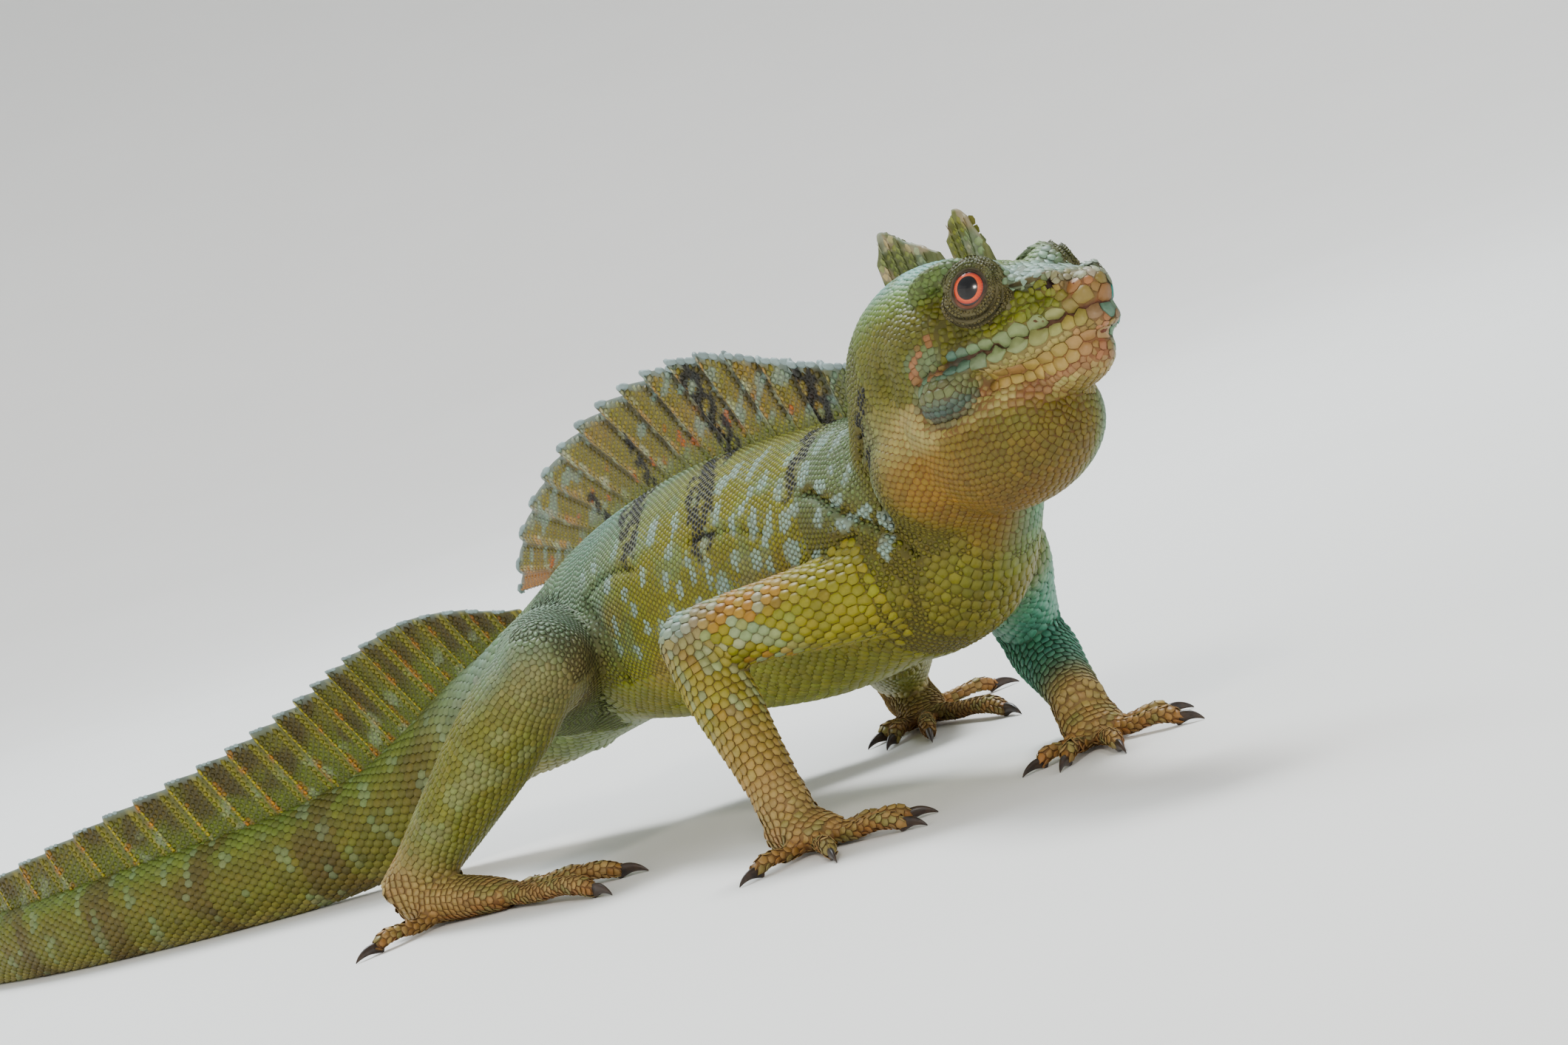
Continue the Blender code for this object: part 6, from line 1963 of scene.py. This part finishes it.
def unwrapped(points, line):
    """A place on a flat map: the distance along the middle line and the angle round it."""
    step = points[:, None] - line.middle[None]
    i = np.linalg.norm(step, axis=2).argmin(axis=1)
    away = points - line.middle[i]
    run = line.distance[i] + np.einsum("nc,nc->n", away, line.along[i])
    angle = np.arctan2(np.einsum("nc,nc->n", away, line.top[i]),
                       np.einsum("nc,nc->n", away, line.side[i]))
    low, high = run.min(), run.max()
    return np.column_stack([0.02 + 0.96 * (run - low) / max(high - low, 1e-6),
                            0.5 + angle / (2 * math.pi) * 0.96])


def colour_points(obj, tints, seams, rims):
    mesh = obj.data
    for name, values in (("tint", tints), ("seam", seams)):
        layer = mesh.attributes.new(name, "FLOAT_COLOR", "POINT")
        rgba = np.column_stack([values, np.ones(len(values))])
        layer.data.foreach_set("color", rgba.astype(np.float32).ravel())
    mesh.attributes.new("rim", "FLOAT", "POINT").data.foreach_set("value", np.asarray(rims, np.float32))


def lay_map(obj, uv):
    """Gives the object a flat map named OFBake, laid from the given places."""
    mesh = obj.data
    corner = np.zeros(len(mesh.loops), np.int32)
    mesh.loops.foreach_get("vertex_index", corner)
    layer = mesh.uv_layers.new(name="OFBake")
    layer.data.foreach_set("uv", uv[corner].astype(np.float32).ravel())

# %% [markdown]
# ## The finish of scales and skin
# Scales are dry horn: half glossy, with a fine grain, darker towards the seam. The seam itself is
# soft skin without gloss.

# %% Scale and skin finishes
def scale_finish(name, gloss=0.5, seam_at=0.5, grain=900):
    f = Finish(name, Specular_IOR_Level=0.32)
    rim = f.attribute("rim", number=True)
    tint, seam = f.attribute("tint"), f.attribute("seam")
    fine = f.noise(grain, 3)
    broad = f.noise(180, 2)
    body = f.mix(f.step(fine, 0.3, 0.75) * 0.35, tint, f.dyed(tint, (0.62, 0.58, 0.5)))
    body = f.mix(f.step(broad, 0.45, 0.8) * 0.18, body, f.dyed(tint, (1.35, 1.3, 1.2)))
    edge = f.step(rim + (fine - 0.5) * 0.22, seam_at, 1.0)
    rough = gloss + 0.28 * edge + (fine - 0.5) * 0.22
    f.set(Base_Color=f.mix(edge, body, seam), Roughness=rough, Normal=f.bump(fine, 0.00006, 0.5))
    return f.material


def skin_finish():
    f = Finish("skin_between_scales", Specular_IOR_Level=0.35)
    tint = f.attribute("tint")
    fine = f.noise(1400, 3)
    f.set(Base_Color=f.mix(fine, tint, f.dyed(tint, (1.5, 1.45, 1.4))), Roughness=0.6 + fine * 0.2,
          Normal=f.bump(fine, 0.00008, 0.6))
    return f.material


SCALE_FINISH = scale_finish("scales")
GRAIN_FINISH = scale_finish("small_scales", 0.5, 0.7)
PLATE_FINISH = scale_finish("head_plates", 0.42, 0.5, 600)
PIECE_FINISHES = {"coat_head_plates": PLATE_FINISH, "coat_trunk": GRAIN_FINISH,
                  "coat_neck": GRAIN_FINISH, "coat_back_sail": GRAIN_FINISH,
                  "coat_tail_sail": GRAIN_FINISH}

# %% The coat, piece by piece
LINES = {"trunk": trunk, "neck": nape, "tail": tail, "head": HEAD_CORE}
GROUPS = {"coat_head": ["head"], "coat_head_plates": PLATED, "coat_neck": ["neck"],
          "coat_trunk": ["trunk"], "coat_tail": ["tail"]}
for side in ("right", "left"):
    soles = {"forefoot": feet[side, False][0][1], "hindfoot": feet[side, True][0][1]}
    for limb in ("upper_arm", "forearm", "thigh", "shin", "forefoot", "hindfoot"):
        GROUPS[f"coat_{side}_{limb}"] = [f"{side}_{limb}"]
        LINES[f"{side}_{limb}"] = soles.get(limb) or limbs[side][limb]
for side in EYES:
    GROUPS[f"coat_{side}_lids"] = [f"{side}_lids"]
for name in FINS:
    GROUPS[f"coat_{name}"] = [name]
    LINES[name] = {"back_sail": trunk, "tail_sail": tail}.get(name, HEAD_CORE)
coat_pieces = []
for name, parts in GROUPS.items():
    chosen = np.where(np.isin(PART, parts))[0]
    line = LINES.get(parts[0], HEAD_CORE)
    piece = tiles(name, chosen, line)
    piece.data.materials.append(PIECE_FINISHES.get(name, SCALE_FINISH))
    coat_pieces.append(piece)
print("triangles of the coat:", {o.name: len(o.data.polygons) for o in coat_pieces})

# %% Skin in the colour of the seams
SKIN_KEPT = 0.42     # the share of the skin's triangles that is left under the coat


def paint_skin():
    tree = tree_of(P)
    near_scale = np.array([tree.find(p)[1] for p in skin_points])
    head = to_head(skin_points)
    head[:, 1] = np.abs(head[:, 1])
    # painted shade: the mouth slit is painted dark red-brown and the nostrils near black
    mouth_slit_shade = rise(distance_to_line(head, MOUTH_PATH), 1.0, 0.6) * rise(head[:, 0], -34, -31)
    base = over(SEAM[near_scale] * 0.65 + TINT[near_scale] * 0.3, mouth_slit_shade * 0.85, colour(64, 30, 18))
    base = over(base, rise(np.linalg.norm((head - NOSTRIL) / [1, 2, 1], axis=1), 1.5, 1.1),
                colour(34, 14, 9))
    colour_points(skin, base, base, np.ones(len(skin_points)))
    skin.data.materials.clear()
    skin.data.materials.append(skin_finish())
    thin = skin.modifiers.new("thin", "DECIMATE")
    thin.ratio = SKIN_KEPT
    graph = bpy.context.evaluated_depsgraph_get()
    mesh = bpy.data.meshes.new_from_object(skin.evaluated_get(graph))
    skin.modifiers.clear()
    skin.data = mesh
    skin.data.shade_smooth()


paint_skin()
FLESH = [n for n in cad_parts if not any(word in n for word in ("sail", "crest", "eye"))]
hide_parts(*FLESH)
for obj in [skin, *coat_pieces]:
    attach(obj, "root")
print("skin triangles:", len(skin.data.polygons), "stands for", len(FLESH), "nodes")

# %% [markdown]
# ## Fin sheets, lids, eyes and claws
# These are the pieces under or beside the scales. The sheets of the fins take the same paint,
# darker. The eye is a ball with its pupil and iris painted in rings round the gaze, under
# a clear wet coat. Each claw is one dark curved hook.

# %% Fin sheets and beads on their edges
def build_fin(name):
    points, faces, t, s = FINS[name].faces_of(*FIN_GRIDS[name])
    sheet = new_mesh(name + "_skin", points, faces)
    tint = BY_SHARES[name](points, np.column_stack([t, s]))
    if sheet.name in BLACK_MARKS:
        tint = over(tint, BLACK_MARKS[sheet.name](points), BLACK)
    colour_points(sheet, tint * 0.62, tint * 0.3, np.full(len(points), 0.2))
    sheet.data.materials.append(GRAIN_FINISH)
    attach(sheet, "root")
    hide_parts(*[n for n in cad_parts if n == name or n.startswith(name + "_")])


def beads(name, items):
    """Joined flattened balls: each has a place, three half axes as vectors, and a tint."""
    ball, ball_faces = sphere(8, 6)
    points, faces, tints = [], [], []
    for place, a, b, c, tint in items:
        faces += [tuple(k + len(points) * len(ball) for k in face) for face in ball_faces]
        points.append(place + ball @ np.array([a, b, c]))
        tints.append(np.tile(tint, (len(ball), 1)))
    obj = new_mesh(name, np.concatenate(points), faces)
    tints = np.concatenate(tints)
    colour_points(obj, tints, tints * 0.3, np.full(len(tints), 0.1))
    obj.data.materials.append(GRAIN_FINISH)
    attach(obj, "root")


def edge_beads(name, spots, long, tall, thick, tilt):
    """Beads on a fin's edge, each lying along it with its rear end lifted."""
    fin, items = FINS[name], []
    for t in spots:
        edge, ray, across, _ = fin.sheet(np.clip(t + np.array([-0.003, 0, 0.003]), 0, 1),
                                         np.full(3, 0.985))
        along = unit(edge[2] - edge[0])
        out = unit(np.cross(across[1], along))
        out = out * np.sign(out @ ray[1])
        size = chance.uniform(0.85, 1.12)
        lean = unit(along + out * tilt)
        rise_up = unit(out - along * tilt)
        pale = colour(140, 160, 160) * chance.uniform(0.7, 1.1)
        items.append((edge[1] + out * tall * 0.2, lean * long * size, rise_up * tall * size,
                      across[1] * thick, pale))
    beads(name + "_edge", items)


for name in FINS:
    build_fin(name)
front_edge = [(0.01 + 0.44 * k / 34) for k in range(34)]
ray_ends = [(k - back) / 17 for k in range(7, 18) for back in (0.02, 0.14, 0.27)]
edge_beads("back_sail", front_edge + ray_ends, 1.55, 0.75, 0.62, 0.24)
tail_ends = [(k - back) / 29 for k in range(1, 30) for back in (0.03, 0.14, 0.25, 0.37)]
edge_beads("tail_sail", [t for t in tail_ends if t > 0.01], 0.75, 0.45, 0.42, 0.2)

# %% Lids
LID_FINISH = scale_finish("lid_skin", 0.5, 0.4, 1300)


def build_lids(side):
    sectors, rings = 120, 46
    phi = np.arange(sectors) * 360 / sectors
    share = np.linspace(0, 1, rings)
    opening = lid_opening(phi)
    theta = opening[:, None] - 3 + (86 - opening[:, None] + 3) * share[None] ** 1.15
    spread = np.broadcast_to(phi[:, None], theta.shape)
    points = lid_points(side, theta, spread)
    inner = EYES[side] + gaze_direction(side, theta[:, 0] - 1, phi) * 4.9
    points = np.concatenate([inner[:, None], points], axis=1).reshape(-1, 3)
    per = rings + 1
    faces = [(i * per + k, ((i + 1) % sectors) * per + k, ((i + 1) % sectors) * per + k + 1,
              i * per + k + 1)
             for i in range(sectors) for k in range(per - 1)]
    lid = new_mesh(f"{side}_eyelids", points, faces)
    facing = read_normals(lid)[20 * per + 12] @ GAZES[side]
    if facing < 0:
        lid.data.flip_normals()
    tint = paint_lids(points, None)
    past = np.concatenate([np.full((sectors, 1), -4.0), theta - opening[:, None]], axis=1).ravel()
    below = np.repeat(rise(-np.sin(np.radians(phi)), 0.3, 0.9), per)
    tint = over(tint, rise(past, 4, 0.5) * 0.85, colour(46, 30, 20))
    tint = over(tint, rise(past, 1.2, 0.0) * below * 0.4, colour(150, 80, 56))
    angle = np.concatenate([theta[:, :1], theta], axis=1).ravel()
    # painted shade: the two creases under the eye are darkened
    for crease in (53, 63.5):
        tint = over(tint, bell(angle - crease, 1.8) * below * 0.7, colour(34, 28, 18))
    colour_points(lid, tint, tint * 0.35, np.full(len(points), 0.1))
    lid.data.materials.append(LID_FINISH)
    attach(lid, "root")


for side in EYES:
    build_lids(side)

# %% Eyes
def eye_finish():
    f = Finish("wet_eye", Roughness=0.2, Coat_Weight=0.45, Coat_Roughness=0.04, Specular_IOR_Level=0.35)
    fine = f.noise(2600, 2)
    tint = f.attribute("tint")
    f.set(Base_Color=f.mix(f.step(fine, 0.35, 0.7) * 0.3, tint, f.dyed(tint, (0.6, 0.5, 0.45))))
    return f.material


EYE_FINISH = eye_finish()


def build_eye(side):
    sectors = 96
    theta = np.concatenate([[0.01], np.arange(0.8, 44, 0.8), np.arange(46, 179, 7.0), [179.9]])
    phi = np.arange(sectors) * 360 / sectors
    grid_theta, grid_phi = np.meshgrid(theta, phi, indexing="ij")
    direction = gaze_direction(side, grid_theta, grid_phi).reshape(-1, 3)
    points = EYES[side] + direction * EYE_RADIUS
    eye = new_mesh(f"{side}_eyeball", points, ring_faces(len(theta), sectors))
    if read_normals(eye)[5 * sectors] @ GAZES[side] < 0:
        eye.data.flip_normals()
    angle, around = np.radians(grid_theta.ravel()), np.radians(grid_phi.ravel())
    out = EYE_RADIUS * np.sin(angle)
    wide, tall = out * np.cos(around), out * np.sin(around)
    streaks = 0.5 * np.sin(around * 37 + out * 1.3) + 0.5 * np.sin(around * 61 - out * 2.1)
    pupil = np.hypot(wide / 1.98, tall / 2.2)
    tint = layers(len(points), (206, 66, 20),
        (rise(out, 2.35, 2.85) * 0.85, (140, 26, 10)),
        (rise(streaks, 0.1, 0.8) * 0.25, (232, 104, 40)),
        (rise(pupil, 1.12, 1.03) * 0.4, (230, 110, 44)),
        (rise(out, 2.72, 2.86), (26, 10, 7)),
        (rise(out, 3.3, 3.7), (60, 32, 24)),
        (rise(pupil, 1.02, 0.97), (4, 3, 3)))
    colour_points(eye, tint, tint, np.zeros(len(points)))
    eye.data.materials.append(EYE_FINISH)
    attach(eye, "root")
    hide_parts(f"{side}_eye")


for side in EYES:
    build_eye(side)

# %% Claws
def claw_finish():
    f = Finish("claw_horn", Roughness=0.4, Specular_IOR_Level=0.45)
    grain = f.noise(500, 3)
    f.set(Base_Color=f.mix(f.step(grain, 0.35, 0.7), srgb(58, 42, 30), srgb(30, 22, 18)),
          Normal=f.bump(grain, 0.00005, 0.4))
    return f.material


# the share of a claw's length, its drop and its thickness
CLAW_ROWS = [(-0.35, -0.1, 0.66), (0.0, -0.45, 0.62), (0.3, -0.5, 0.52), (0.6, -0.15, 0.37),
             (0.85, 0.42, 0.2), (1.0, 0.95, 0.06)]


def build_claws():
    clay = Clay()
    for _, _, roots in feet.values():
        for tip, out, radius, length in roots:
            rows = []
            for t, drop, thick in CLAW_ROWS:
                place = tip + out * length * t
                height = max(tip[2] - drop * tip[2] * 0.9, thick * radius * 0.6)
                rows.append((place[0], place[1], height, thick * radius * 0.62, thick * radius,
                             thick * radius))
            clay.loft(Line(rows, 5), sides=12)
    claws = new_mesh("claws", np.concatenate(clay.points), clay.faces)
    claws.data.materials.append(claw_finish())
    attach(claws, "root")
    return claws


claws = build_claws()
print("triangles of the claws:", sum(len(p.vertices) - 2 for p in claws.data.polygons))

# %% Sizes and finish
low, high = (np.array([float(v) for v in corner]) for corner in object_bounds())
print("size of the dressed animal in millimetres:", np.round((high - low) * 1000, 1))
